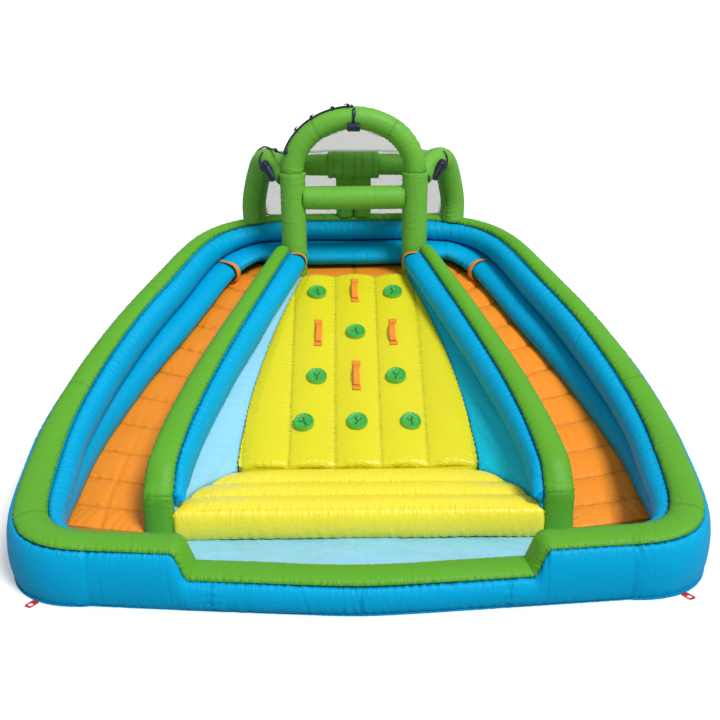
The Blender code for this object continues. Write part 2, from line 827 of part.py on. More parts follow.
def make_landing_pad():
    """Pad of three cross channels with a round front."""
    steps = PAD_CHANNELS * CHANNEL_COLUMNS
    pad_steps = DIVIDER_STEPS - CLIMB_STEPS
    side = edge_points()[0][CLIMB_STEPS:]
    rows = []
    for i in range(steps + 1):
        share = i / steps
        y = blend(CLIMB_FOOT_Y - GAP, DIVIDER_NOSE_Y, share)
        index = min(i * pad_steps // steps, pad_steps - 1)
        half = -side[index].lerp(side[index + 1], share * pad_steps - index).x - GAP
        rise = PAD_CROWN * abs(math.sin(math.pi * PAD_CHANNELS * share))
        rows.append((y, half, PAD_TOP + rise, FLOOR_TOP, PAD_CROWN))
    # the front face swells over the floor
    half = rows[-1][1]
    for share in (0.35, 0.7, 1):
        angle = math.pi / 2 * share
        tuck = 1 - math.cos(angle)
        y = DIVIDER_NOSE_Y - PAD_BULGE * math.sin(angle)
        drop = (PAD_TOP - FLOOR_TOP) / 3 * tuck
        rows.append((y, half - PAD_BULGE * tuck, PAD_TOP - drop, FLOOR_TOP + drop, 0))
    loops = [pad_loop(*row, 0) for row in rows]
    hollow = [pad_loop(*row, SKIN) for row in rows]
    return loft("landing_pad", loops, "yellow_fabric", YELLOW, hollow, open_end=False)


def pad_loop(y, half, top, bottom, sag, skin):
    """A row of points over the pad and back under it."""
    half -= skin
    across_shares = (-1, -0.75, -0.4, 0, 0.4, 0.75, 1)
    upper = [Vector((half * c, y, top - skin - sag * abs(c) ** 6)) for c in across_shares]
    lower = [Vector((half * c, y, bottom + skin)) for c in (1, 0, -1)]
    return upper + lower


# Lanes and platform


def make_lanes(ring, divider):
    """A quilted bed from the platform round to the pool, between the wall and the divider."""
    platform_edge = -DECK_HALF_WIDTH - 2 * GAP
    outer = [ring[1 + k].at - ring[1 + k].out * GAP for k in range(LANE_STEPS + 1)]
    start = divider[0].at - divider[0].out * GAP
    outer[0] = Vector((platform_edge, RING_Y - GAP))
    inner = [
        Vector((platform_edge, DECK_FRONT_Y + LANE_TURN)),
        Vector((blend(platform_edge, start.x, 0.5), DECK_FRONT_Y + LANE_TURN / 2)),
    ]
    inner += [s.at - s.out * GAP for s in divider]
    loops = []
    hollow = []
    halves = 2 * LANE_STEPS
    columns = (0, 0.12, 0.5, 0.88, 1)
    for half_step in range(halves + 1):
        k = min(half_step // 2, LANE_STEPS - 1)
        share = half_step / 2 - k
        a = outer[k].lerp(outer[k + 1], share)
        b = inner[k].lerp(inner[k + 1], share)
        base = blend(lane_top(k), lane_top(k + 1), share)
        crown = LANE_CROWN if half_step % 2 or half_step == halves else 0
        crown = 0 if half_step in (0, halves) else crown
        loops.append(lane_loop(a, b, base, crown, columns, 0))
        hollow.append(lane_loop(a, b, base, crown, columns, SKIN))
    lane = loft("slide_lane_left", loops, "orange_fabric", ORANGE, hollow, open_end=False)
    mirrored(lane, "slide_lane_right")


def lane_loop(a, b, base, crown, columns, skin):
    bottom = max(base - LANE_BED, FLOOR_TOP)
    across = b - a
    draw = skin / across.length
    points = []
    for column in columns:
        place = a + across * blend(draw, 1 - draw, column)
        lift = crown * (1 - (2 * column - 1) ** 6)
        points.append(Vector((*place, base + lift - skin)))
    for column in (1, 0):
        place = a + across * blend(draw, 1 - draw, column)
        points.append(Vector((*place, bottom + skin)))
    return points


def make_platform():
    """The deck's column, standing on the ground sheet and open towards the rear wall."""
    ends = (DECK_FRONT_Y + GAP, RING_Y - GAP)
    loops = [deck_loop(y, 0) for y in ends]
    hollow = [deck_loop(y, SKIN) for y in ends]
    return loft("platform", loops, "orange_fabric", ORANGE, hollow, open_start=False)


def deck_loop(y, skin):
    half, top, low = DECK_HALF_WIDTH - skin, DECK_TOP - skin, FLOOR_TOP + skin
    return [Vector(p) for p in ((-half, y, low), (-half, y, top), (half, y, top), (half, y, low))]


# Superstructure


def vertical(x, y, low, high):
    return [Vector((x, y, low)), Vector((x, y, high))]


def across(half, middle):
    return [Vector((side * half, middle.y, middle.z)) for side in (-1, 1)]


def arch_points():
    """Centreline of the front arch, from the left foot to the right one."""
    feet = POST_TOP + GAP
    rise = HEIGHT - 2 * HOSE_RADIUS - HOSE_CLEARANCE - ARCH_RADIUS - feet
    angles = [math.pi * i / ARCH_STEPS for i in range(ARCH_STEPS + 1)]
    return [Vector((-POST_X * math.cos(a), POST_Y, feet + rise * math.sin(a))) for a in angles]


def side_arch_points(ring, shares):
    """Centreline of the left side arch, from inside the post to inside the rear cap."""
    start = Vector((-POST_X, POST_Y, POST_TOP - SIDE_ARCH_RADIUS))
    seat = ring[SIDE_FOOT_STEPS]
    at = seat.at + seat.out * (cap_width(shares[SIDE_FOOT_STEPS]) / 2)
    foot = Vector((at.x, at.y, ring_top(shares[SIDE_FOOT_STEPS]) + CAP_CROWN / 2))
    route = [start]
    for plan, rise in SIDE_ARCH_SHARES:
        place = start.lerp(foot, plan)
        place.z = start.z + rise * SIDE_ARCH_RISE
        route.append(place)
    route.append(Vector((foot.x, foot.y, blend(foot.z, start.z, 0.5))))
    route.append(foot)
    return even_points(lambda share: smooth_route(route, share), SIDE_ARCH_STEPS)


def make_superstructure(ring, shares):
    arch = arch_points()
    side_route = side_arch_points(ring, shares)
    # posts stand on the deck, with the arch on their closed tops
    posts = rings_about(vertical(-POST_X, POST_Y, DECK_TOP + GAP, POST_TOP), POST_RADIUS, TUBE_SIDES)
    bores = rings_about(vertical(-POST_X, POST_Y, DECK_TOP + GAP, POST_TOP), POST_RADIUS - SKIN, TUBE_SIDES)
    post = loft("front_post_left", posts, "green_fabric", GREEN, bores, open_end=False)
    mirrored(post, "front_post_right")
    tube("front_arch", arch, ARCH_RADIUS, "green_fabric", GREEN, upright_ends=True)
    post_space = vertical(-POST_X, POST_Y, DECK_TOP, POST_TOP + GAP)
    post_cutter = solid_tube("post_cutter", post_space, POST_RADIUS + GAP)
    arch_cutter = solid_tube("arch_cutter", arch, ARCH_RADIUS + GAP, upright_ends=True)
    side_cutter = solid_tube("side_arch_cutter", side_route, SIDE_ARCH_RADIUS + GAP)
    cap_cutter = make_cap_cutter(ring, shares)

    bar_ends = across(POST_X, Vector((0, POST_Y, CROSSBAR_Z)))
    crossbar = tube("crossbar", bar_ends, CROSSBAR_RADIUS, "green_fabric", GREEN)
    cut_pair(crossbar, crossbar, [post_cutter])

    side_arch = tube("side_arch_left", side_route, SIDE_ARCH_RADIUS, "green_fabric", GREEN)
    cut_pair(side_arch, mirrored(side_arch, "side_arch_right"), [post_cutter, arch_cutter, cap_cutter])

    joint = side_route[BEAM_STEPS]
    beam_ends = [joint, Vector((-joint.x, joint.y, joint.z))]
    beam = tube("rear_beam", beam_ends, BEAM_RADIUS, "green_fabric", GREEN)
    cut_pair(beam, beam, [side_cutter])
    make_rear_post(joint, ring_top(0))
    make_net(arch, joint, side_route[-1], ring_top(0))
    return arch, side_route


def make_rear_post(joint, wall_top):
    """Ribbed post from the rear cap to a saddle round the beam."""
    foot_y = RING_Y + CAP_REAR_WIDTH * REAR_POST_SEAT_SHARE
    loops = []
    hollow = []
    for share in (0, 0.5, 0.8, 1):
        y = blend(foot_y, joint.y, share)
        z = blend(wall_top + CAP_EDGE / 2, joint.z, share)
        loops.append(ribbed_loop(y, z, 0))
        hollow.append(ribbed_loop(y, z, SKIN))
    post = loft("rear_post", loops, "green_fabric", GREEN, hollow)
    saddle = solid_tube("saddle", across(SADDLE_HALF_WIDTH, joint), BEAM_RADIUS + SADDLE_WALL)
    beam = across(SADDLE_HALF_WIDTH + OVERRUN, joint)
    section = cap_section(wall_top, CAP_REAR_WIDTH, 2 * GAP, OVERRUN)
    half = DECK_HALF_WIDTH - POST_RADIUS
    ends = [Station(Vector((x, RING_Y)), Vector((0, 1))) for x in (half, -half)]
    cut(post, saddle, "UNION")
    cut(post, solid_tube("beam_cutter", beam, BEAM_RADIUS + GAP))
    cut(post, as_cutter(loft_stations("rear_cap_cutter", ends, [section, section], "green_fabric", GREEN)))


def ribbed_loop(y, z, skin):
    """Plan outline of the rear post: two ribs side by side, flat behind."""
    half, deep = REAR_POST_HALF_WIDTH - skin, REAR_POST_DEPTH / 2 - skin
    points = [Vector((half, y + deep, z)), Vector((-half, y + deep, z))]
    for centre in (-1, 1):
        for angle in (180, 135, 90, 45, 0):
            turn = math.radians(angle)
            x = half / 2 * (centre + math.cos(turn))
            if centre > 0 and angle == 180:
                continue
            out = blend(RIB_VALLEY_SHARE, 1, math.sin(turn))
            points.append(Vector((x, y - deep * out, z)))
    return points


def even_row(spread, y, z, columns):
    return [Vector((blend(-spread, spread, i / (columns - 1)), y, z)) for i in range(columns)]


def make_net(arch, joint, foot, wall_top):
    """Net from the back of the front arch over the saddle and down to the rear cap."""
    half = NET_THICKNESS / 2
    edge = NET_EDGE_STEPS
    rows = []
    back = POST_Y + ARCH_RADIUS + GAP + half
    rows.append([Vector((p.x, back, p.z)) for p in arch[edge:len(arch) - edge]])
    columns = len(rows[0])
    spread = -joint.x - SIDE_ARCH_RADIUS - 2 * NET_CLEARANCE
    reach = (BEAM_RADIUS + SADDLE_WALL + GAP + half) / math.cos(math.radians(22.5))
    for angle in (112.5, 67.5, 22.5, -22.5):
        turn = math.radians(angle)
        y, z = joint.y + reach * math.cos(turn), joint.z + reach * math.sin(turn)
        rows.append(even_row(spread, y, z, columns))
    low_spread = -foot.x - SIDE_ARCH_RADIUS - NET_CLEARANCE
    low_y = RING_Y + CAP_REAR_WIDTH * NET_SEAT_SHARE
    low_z = wall_top + CAP_CROWN / 2 + 2 * GAP + half
    rows.append(even_row(low_spread, low_y, low_z, columns))
    return sheet("safety_net", rows, NET_THICKNESS, "net", NET_GREY)


def sheet(name, rows, thickness, colour_name, colour):
    """A thin sheet through a grid of points."""
    last_row, last = len(rows) - 1, len(rows[0]) - 1

    def normal(i, j):
        down = rows[min(i + 1, last_row)][j] - rows[max(i - 1, 0)][j]
        across = rows[i][min(j + 1, last)] - rows[i][max(j - 1, 0)]
        return across.cross(down).normalized() * (thickness / 2)

    data = bmesh.new()
    sides = []
    for sign in (1, -1):
        sides.append([
            [data.verts.new(point + normal(i, j) * sign) for j, point in enumerate(row)]
            for i, row in enumerate(rows)
        ])
    for grid in sides:
        for i in range(last_row):
            for j in range(last):
                data.faces.new((grid[i][j], grid[i][j + 1], grid[i + 1][j + 1]))
                data.faces.new((grid[i][j], grid[i + 1][j + 1], grid[i + 1][j]))
    rims = []
    for grid in sides:
        far = [row[-1] for row in grid[:-1]]
        near = [row[0] for row in grid[:0:-1]]
        rims.append(grid[0][:-1] + far + grid[-1][:0:-1] + near)
    rows_between(data, *rims)
    return finish_mesh(name, data, colour_name, colour)


# Holds and straps


def surface_tree(item):
    mesh = item.data
    return BVHTree.FromPolygons([v.co for v in mesh.vertices], [tuple(p.vertices) for p in mesh.polygons])


def drop(tree, x, y):
    """The point under a plan position and the surface's direction there."""
    point, normal, index, distance = tree.ray_cast(Vector((x, y, HEIGHT)), Vector((0, 0, -1)))
    return point, normal


def down_the_wall(share):
    return blend(DECK_FRONT_Y, CLIMB_FOOT_Y, share)


def frame_at(origin, x_axis, z_axis):
    """A placing whose X runs along x_axis and whose Z is as near as can be to z_axis."""
    x_axis = x_axis.normalized()
    y_axis = z_axis.cross(x_axis).normalized()
    z_axis = x_axis.cross(y_axis)
    turn = Matrix((x_axis, y_axis, z_axis)).transposed().to_4x4()
    return Matrix.Translation(origin) @ turn


def make_holds(wall, wall_cutter):
    """Moulded domes with a dished top, seated on the quilt."""
    tree = surface_tree(wall)
    profile = (
        (0, -HOLD_SINK), (HOLD_RADIUS, -HOLD_SINK), (HOLD_RADIUS, HOLD_HEIGHT * 0.25),
        (HOLD_RADIUS * 0.85, HOLD_HEIGHT * 0.75), (HOLD_RADIUS * 0.55, HOLD_HEIGHT),
        (HOLD_RADIUS * 0.3, HOLD_HEIGHT * 0.9), (0, HOLD_HEIGHT * 0.75),
    )
    number = 1
    for share, columns in HOLD_ROW_SHARES:
        for column in columns:
            x = column * SEAM_PITCH
            point, normal = drop(tree, x, down_the_wall(share))
            data = bmesh.new()
            bottom = data.verts.new((0, 0, profile[0][1]))
            top = data.verts.new((0, 0, profile[-1][1]))
            rings = []
            for radius, height in profile[1:-1]:
                rings.append([
                    data.verts.new((radius * math.cos(a), radius * math.sin(a), height))
                    for a in (2 * math.pi * k / HOLD_SIDES for k in range(HOLD_SIDES))
                ])
            for first, second in zip(rings, rings[1:]):
                rows_between(data, first, second)
            for k in range(HOLD_SIDES):
                data.faces.new((bottom, rings[0][k], rings[0][k - 1]))
                data.faces.new((top, rings[-1][k - 1], rings[-1][k]))
            hold = finish_mesh("climbing_hold_%d" % number, data, "hold_plastic", GREEN)
            hold.matrix_basis = frame_at(point, Vector((1, 0, 0)), normal)
            cut(hold, wall_cutter)
            number += 1


def make_strap(name, first, last, up, rise, fullness=0.8):
    """A webbing grip sewn down at both ends, whose own X axis is the line that it swings about."""
    chord = last - first
    length = chord.length
    root = STRAP_LIFT - GAP
    loops = []
    count = 12
    for i in range(count + 1):
        share = i / count
        x = length * (1 - math.cos(math.pi * share)) / 2
        arch = math.sin(math.pi * share) ** fullness
        wide = blend(root, STRAP_WIDTH / 2, min(arch * 1.2, 1))
        thick = blend(root, STRAP_THICKNESS / 2, min(arch * 2, 1))
        loops.append([
            Vector((x, wide * math.cos(a), rise * arch + thick * math.sin(a)))
            for a in (math.radians(22.5 + 45 * k) for k in range(8))
        ])
    strap = loft(name, loops, "orange_webbing", ORANGE)
    strap.matrix_basis = frame_at(first, chord, up)
    return strap


def make_climb_straps(wall):
    tree = surface_tree(wall)
    slope = Vector((0, CLIMB_FOOT_Y - DECK_FRONT_Y, CLIMB_FOOT_TOP - CLIMB_TOP)).normalized()
    upper, middle, lower = CLIMB_STRAP_ROW_SHARES
    places = [(0, upper), (-1, middle), (1, middle), (0, lower)]
    for number, (side, share) in enumerate(places):
        x = side * CLIMB_STRAP_SPREAD
        y = down_the_wall(share)
        half = slope.y * CLIMB_STRAP_LENGTH / 2
        first, normal = drop(tree, x, y - half)
        last, other_normal = drop(tree, x, y + half)
        up = (normal + other_normal).normalized()
        lift = up * STRAP_LIFT
        make_strap("climbing_strap_%d" % (number + 1), first + lift, last + lift, up, CLIMB_STRAP_RISE)


def make_handles():
    """Grips round the divider rolls beside the platform, and round the lower rolls over the lanes."""
    for name, roll_name, place, lift in (
        ("platform_handle_left", "divider_roll_left", PLATFORM_HANDLE_SHARE, STRAP_LIFT - GAP),
        ("lane_handle_left", "lower_roll_left", LANE_HANDLE_SHARE, STRAP_LIFT + LANE_HANDLE_LIFT),
    ):
        left = roll_handle(name, bpy.data.objects[roll_name].data, place, lift)
        mirrored(left, name.replace("_left", "_right"))


def roll_handle(name, roll, place, lift):
    """A grip over the crown of a roll, sewn down where the roll starts to curve round to the wall."""
    step = int(place)

    def roll_point(k):
        here = roll.vertices[ROLL_POINTS * step + k].co
        return here.lerp(roll.vertices[ROLL_POINTS * (step + 1) + k].co, place - step)

    low, low_side, crown, high_side, high = [roll_point(k) for k in range(1, ROLL_POINTS - 1)]
    up = (crown - (low + high) / 2).normalized()

    def off_side(edge, side):
        along = (side - edge).normalized()
        away = (edge - (low + high) / 2).normalized()
        away = (away - along * away.dot(along)).normalized()
        return edge + away * (lift * abs(away.dot(up)))

    first, last = off_side(low, low_side), off_side(high, high_side)
    rise = (crown - (first + last) / 2).dot(up) + HANDLE_CLEARANCE
    return make_strap(name, first, last, up, rise, fullness=0.5)


# Water line and sprinklers


def make_hose(arch, side_route):
    """Hose along the crest of the front arch and of the left side arch, with its coupling."""
    reach = ARCH_RADIUS + HOSE_RADIUS + HOSE_CLEARANCE
    side_reach = SIDE_ARCH_RADIUS + HOSE_RADIUS + HOSE_CLEARANCE
    route = []
    middle = ARCH_STEPS // 2
    for i in range(middle, 1, -1):
        along = (arch[i + 1] - arch[i - 1]).normalized()
        route.append(arch[i] + along.cross(Vector((0, 1, 0))) * reach)
    for j in range(3, SIDE_ARCH_STEPS - 1):
        along = (side_route[j + 1] - side_route[j - 1]).normalized()
        away = Vector((-1, 1, 2))
        away = (away - along * away.dot(along)).normalized()
        route.append(side_route[j] + away * side_reach)
    points = even_points(lambda share: smooth_route(route, share), HOSE_STEPS)
    loops = rings_about(points, HOSE_RADIUS, HOSE_SIDES)
    end = points[-1] - points[-2]
    coupling_ends = [points[-1], points[-1] + end.normalized() * COUPLING_LENGTH]
    coupling = rings_about(coupling_ends, COUPLING_RADIUS, HOSE_SIDES)
    loops += coupling
    return loft("water_hose", loops, "hose_rubber", NAVY)


def make_sprinkler(name, axis_point, along, tube_radius):
    """A head on a band that wraps the front of a tube, turning about the tube's axis."""
    inner = tube_radius + HANGER_CLEARANCE
    outer = inner + HANGER_THICKNESS
    loops = []
    for i in range(HANGER_STEPS + 1):
        turn = math.radians(blend(HANGER_START, HANGER_END, i / HANGER_STEPS))
        reach_in = inner / math.cos(math.radians((HANGER_START - HANGER_END) / HANGER_STEPS / 2))
        loops.append([
            Vector((x, -r * math.cos(turn), r * math.sin(turn)))
            for x, r in ((-HANGER_WIDTH / 2, reach_in), (HANGER_WIDTH / 2, reach_in),
                         (HANGER_WIDTH / 2, outer), (-HANGER_WIDTH / 2, outer))
        ])
    made = loft(name, loops, "sprinkler_plastic", NAVY)
    turn = math.radians(HANGER_END)
    reach = outer + SPRINKLER_RADIUS * 0.95
    centre = Vector((0, -reach * math.cos(turn), reach * math.sin(turn)))
    half = Vector((SPRINKLER_LENGTH / 2, 0, 0))
    head = solid_tube(name + "_head", [centre - half, centre + half], SPRINKLER_RADIUS)
    cut(made, head, "UNION")
    frame = frame_at(axis_point, along, Vector((0, 0, 1)))
    made.matrix_basis = frame
    head.matrix_basis = frame
    return made


def make_sprinklers(arch, side_route):
    make_sprinkler("sprinkler_centre", arch[ARCH_STEPS // 2], Vector((1, 0, 0)), ARCH_RADIUS + GAP)
    for side, name in ((1, "sprinkler_left"), (-1, "sprinkler_right")):
        here = side_route[SPRINKLER_STEPS].lerp(side_route[SPRINKLER_STEPS + 1], 0.5)
        along = side_route[SPRINKLER_STEPS] - side_route[SPRINKLER_STEPS + 1]
        place = Vector((here.x * side, here.y, here.z))
        direction = Vector((along.x * side, along.y, along.z)) * side
        make_sprinkler(name, place, direction, SIDE_ARCH_RADIUS)


# Anchor loops and air inlet


def make_anchors(ring):
    """Webbing loops hinged at the foot of the wall, front corners and rear."""
    for end, index in (("front", ANCHOR_FRONT_STEPS), ("rear", ANCHOR_REAR_STEPS)):
        station = ring[index]
        top = ring_top(ring_shares(ring)[index])
        left = make_anchor("anchor_%s_left" % end, station, top)
        mirrored(left, "anchor_%s_right" % end)


def make_anchor(name, station, top):
    half = ANCHOR_THICKNESS / 2
    foot, rising = wall_section(top)[-1], wall_section(top)[-2]
    slope = Vector((rising[0] - foot[0], rising[1] - foot[1])).normalized()
    lift = half + GAP
    swing = math.radians(ANCHOR_SWING)
    corner = half * (slope.y * math.sin(swing) + slope.x * math.cos(swing))
    reach = foot[0] + lift * slope.x / slope.y + (corner + GAP) / slope.y
    origin = Vector((station.at.x + station.out.x * reach, station.at.y + station.out.y * reach, lift))
    across = Vector((station.out.y, -station.out.x, 0))
    data = bmesh.new()
    side = ANCHOR_WIDTH / 2
    outline = [(0, -side), (ANCHOR_LENGTH, -side), (ANCHOR_LENGTH, side), (0, side)]
    corners = 4
    ring_points = [
        (ANCHOR_LENGTH * ANCHOR_HOLE_SHARE + ANCHOR_HOLE * math.cos(a), ANCHOR_HOLE * math.sin(a))
        for a in (math.radians(225 + 90 / corners * k) for k in range(4 * corners))
    ]
    layers = []
    for z in (-half, half):
        layers.append((
            [data.verts.new((y, x, z)) for x, y in outline],
            [data.verts.new((y, x, z)) for x, y in ring_points],
        ))
    for outer, inner in layers:
        for edge in range(4):
            first, second = outer[edge], outer[(edge + 1) % 4]
            arc = [inner[(edge * corners + k) % len(inner)] for k in range(corners + 1)]
            data.faces.new([first, second] + arc[::-1])
    rows_between(data, layers[0][0], layers[1][0])
    rows_between(data, layers[0][1], layers[1][1])
    anchor = finish_mesh(name, data, "red_webbing", RED)
    anchor.matrix_basis = frame_at(origin, across, Vector((0, 0, 1)))
    return anchor


def make_inlet(ring, shares):
    """Air inlet sleeve standing out of the wall, cut to the wall's face."""
    station = ring[INLET_STEPS]
    around = range(INLET_STEPS - 2, INLET_STEPS + 3)
    sections = [inset(wall_section(ring_top(shares[i]), cap_width(shares[i])), -2 * GAP) for i in around]
    wall = as_cutter(loft_stations("wall_cutter", [ring[i] for i in around], sections, "blue_fabric", BLUE))
    out = Vector((station.out.x, station.out.y, 0))
    middle = Vector((station.at.x, station.at.y, INLET_Z))
    ends = [middle + out * (WALL_DEPTH / 2), middle + out * (WALL_DEPTH + INLET_LENGTH)]
    sleeve = tube("air_inlet_sleeve", ends, INLET_RADIUS, "blue_fabric", BLUE)
    cut(sleeve, wall)


def main():
    clear_scene()
    ring = ring_stations()
    shares = ring_shares(ring)
    make_perimeter(ring, shares)
    make_front_wall()
    make_floor(ring)
    divider, widths = divider_stations()
    make_dividers(divider, widths)
    wall, wall_cutter = make_climbing_wall()
    make_landing_pad()
    make_lanes(ring, divider)
    make_platform()
    arch, side_route = make_superstructure(ring, shares)
    make_holds(wall, wall_cutter)
    make_climb_straps(wall)
    make_handles()
    make_hose(arch, side_route)
    make_sprinklers(arch, side_route)
    make_anchors(ring)
    make_inlet(ring, shares)


main()
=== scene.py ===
"""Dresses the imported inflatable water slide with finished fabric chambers, webbing, net and fittings.

Every chamber is a grid of points: rows along it, and in each row a loop round it. Seams and the small
folds that air pressure makes beside them push the grid in and out along its normals.
"""

import json
import math

import bpy
import numpy as np
from mathutils import Matrix, Vector


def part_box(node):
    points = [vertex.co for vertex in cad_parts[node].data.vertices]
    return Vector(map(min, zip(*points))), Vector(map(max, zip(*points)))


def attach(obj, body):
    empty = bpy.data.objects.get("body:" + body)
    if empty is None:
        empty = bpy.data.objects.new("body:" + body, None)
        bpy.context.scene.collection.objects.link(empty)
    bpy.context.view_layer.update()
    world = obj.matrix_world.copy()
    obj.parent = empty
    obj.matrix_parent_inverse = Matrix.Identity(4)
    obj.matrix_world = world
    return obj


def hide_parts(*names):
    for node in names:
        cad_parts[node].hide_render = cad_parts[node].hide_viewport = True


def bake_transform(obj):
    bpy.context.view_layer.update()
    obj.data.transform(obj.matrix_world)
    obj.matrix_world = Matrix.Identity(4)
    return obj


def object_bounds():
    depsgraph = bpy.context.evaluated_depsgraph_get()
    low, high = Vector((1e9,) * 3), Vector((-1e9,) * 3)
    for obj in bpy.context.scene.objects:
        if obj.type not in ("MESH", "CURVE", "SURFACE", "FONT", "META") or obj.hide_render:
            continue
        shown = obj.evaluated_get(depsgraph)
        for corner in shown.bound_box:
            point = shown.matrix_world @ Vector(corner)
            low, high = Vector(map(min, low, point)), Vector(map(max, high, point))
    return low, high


bl_info = {
    "name": "Inflatable water slide",
    "version": (1, 0, 0),
    "blender": (4, 5, 0),
    "location": "3D View > Sidebar > Water Slide",
    "description": "Fabric, webbing, net and stage for the packed water slide",
    "category": "Object",
}

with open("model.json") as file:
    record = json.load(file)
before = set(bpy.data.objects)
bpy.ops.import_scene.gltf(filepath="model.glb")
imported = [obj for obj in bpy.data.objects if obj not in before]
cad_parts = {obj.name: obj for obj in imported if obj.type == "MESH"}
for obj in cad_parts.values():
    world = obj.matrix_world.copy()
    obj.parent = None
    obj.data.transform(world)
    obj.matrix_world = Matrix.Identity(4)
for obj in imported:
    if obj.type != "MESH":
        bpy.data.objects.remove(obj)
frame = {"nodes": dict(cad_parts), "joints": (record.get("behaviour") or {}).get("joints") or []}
CAD_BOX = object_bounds()

# Perimeter wall, in metres, as the solids have it
LOW, HIGH = CAD_BOX
WALL_DEPTH = 0.28
WALL_FOOT = 0.25
RING_X = (HIGH[0] - LOW[0]) / 2 - WALL_DEPTH
RING_Y = (HIGH[1] - LOW[1]) / 2 - WALL_DEPTH
GAP = 0.0006
RING_BENDS = (
    ((0.32, 1.00), (0.655, 1.00), (0.615, 0.75), (0.78, 0.395)),
    ((0.78, 0.395), (0.92, 0.095), (1.00, -0.20), (1.00, -0.43)),
    ((1.00, -0.43), (1.00, -0.86), (0.97, -0.945), (0.80, -0.925)),
)
REAR_TOP = 1.50
CORNER_TOP = 0.37
RING_EASE = 0.63
ENTRY_TOP = 0.19
ENTRY_HALF = 1.04
ENTRY_STEP = 0.08
CAP_WIDTH = 0.235
CAP_REAR_WIDTH = 0.12
CAP_CROWN = 0.05
CAP_EDGE = 0.015
UPPER_REACH = 0.11
LOWER_REACH = 0.25
LOWER_FRONT_REACH = 0.05
LOWER_EASE = 0.60
ROLL_CLEARANCE = 0.012
FLOOR_TOP = 0.0125

# Lanes and platform
DECK_TOP = 1.12
DECK_FRONT = 1.32
DECK_HALF = 0.64
LANE_STEPS = 14
LANE_END_TOP = 0.07
LANE_EASE = 0.26
LANE_CROWN = 0.03
LANE_QUILT = 0.018
LANE_BED = 0.13
LANE_LONGER = 0.28

# Dividers
DIVIDER_START = (0.68, DECK_FRONT - 0.005)
DIVIDER_NOSE = (1.455, -1.24)
DIVIDER_HANDLES = ((0.34, 0.28), (0.95, 0.68))
DIVIDER_WIDTHS = (0.125, 0.205)
DIVIDER_TOPS = (1.38, 0.44)
DIVIDER_ROLL_HEIGHT = 0.24
DIVIDER_ROLL_REACHES = (0.142, 0.07)
NOSE_DROP = 0.09

# Climbing wall and pad
CLIMB_TOP = 1.16
CLIMB_FOOT_TOP = 0.25
CLIMB_FOOT_Y = -0.62
CLIMB_CROWN = 0.028
CLIMB_BOW = 0.03
CLIMB_BED = 0.16
CLIMB_HALVES = (0.45, 0.88)
CLIMB_FLARE = 0.62
CLIMB_SHARE = 9 / 12
SEAM_PITCH = 0.34
PAD_TOP = 0.24
PAD_CROWN = 0.022
PAD_CHANNELS = 3
PAD_BULGE = 0.04
PAD_SIDE = 0.02
SKIN = 0.012

# Superstructure
POST_RADIUS = 0.11
POST_X = DECK_HALF - POST_RADIUS - 0.01
POST_Y = DECK_FRONT + POST_RADIUS + 0.01
POST_TOP = DECK_TOP + 0.91
ARCH_RADIUS = 0.095
ARCH_RISE = HIGH[2] - POST_TOP - ARCH_RADIUS - 0.0205
CROSSBAR_RADIUS = 0.10
CROSSBAR_Z = DECK_TOP + 0.69
SIDE_ARCH_RADIUS = 0.105
SIDE_ARCH_RISE = 0.155
SIDE_ARCH_SHARES = ((0.28, 0.74), (0.54, 1.00), (0.78, 0.60))
BEAM_RADIUS = 0.095
SADDLE_HALF = 0.23
REAR_ROLL_EXTRA = 0.07
HOSE_RADIUS = 0.0075
HOSE_OFF = HOSE_RADIUS + 0.0044

# Seams: steps down a lane, and places across the climbing wall
LANE_SEAMS = [4.0 + 1.144 * k for k in range(-2, 9)]
CLIMB_SEAMS = (-0.85, -0.51, -0.17, 0.17, 0.51, 0.85)
STITCH_WIDTH = 0.007

# Fittings: holds as shares down the wall with channels across, ties by X, the side heads' place and way
HOLD_ROWS = ((0.137, (-0.94, 0.94)), (0.373, (0,)), (0.606, (-0.91, 0.91)), (0.82, (-1.18, 0, 1.18)))
HOLD_RADIUS = 0.078
HOLD_HEIGHT = 0.05
FORK_ARMS = (1.2, 2.5, 4.7)
STRAP_LEANS = (-0.8, 0.6, -0.6, -0.4)
TIE_PLACES = (-0.045, -0.175, -0.345, -0.475, -0.575, -0.66)
SIDE_HEAD = ((0.726, 1.515, 2.031), (-0.50, 0.0, -0.867))
EYE_RADIUS = 0.0155
NET_COLUMNS = 71
HOLD_SIDES = 84
INLET_SIDES = 60
INLET_AXIS = np.array((-0.8434, 0.5373, 0))
INLET_MOUTH = np.array((-1.612, 1.859, 0.22))

# Stage: the camera is a fit of the slide's outline to the photograph, with its turns in degrees
CAMERA_PLACE = Vector((-0.076, -7.95, 3.75))
CAMERA_TURNS = (0.735, 20.0, -0.30)
FOCAL_PIXELS, FRAME_PIXELS = 1110, 720
SUN_PLACE = (4.0, -5.2, 8.0)
SUN_ANGLE = 18
GROUND_REACH = 30
GROUND_GLOW = 0.22
GROUND_BOUNCED = (0.30, 0.30, 0.31, 1)
GROUND_SEEN = (0.80, 0.80, 0.80, 1)


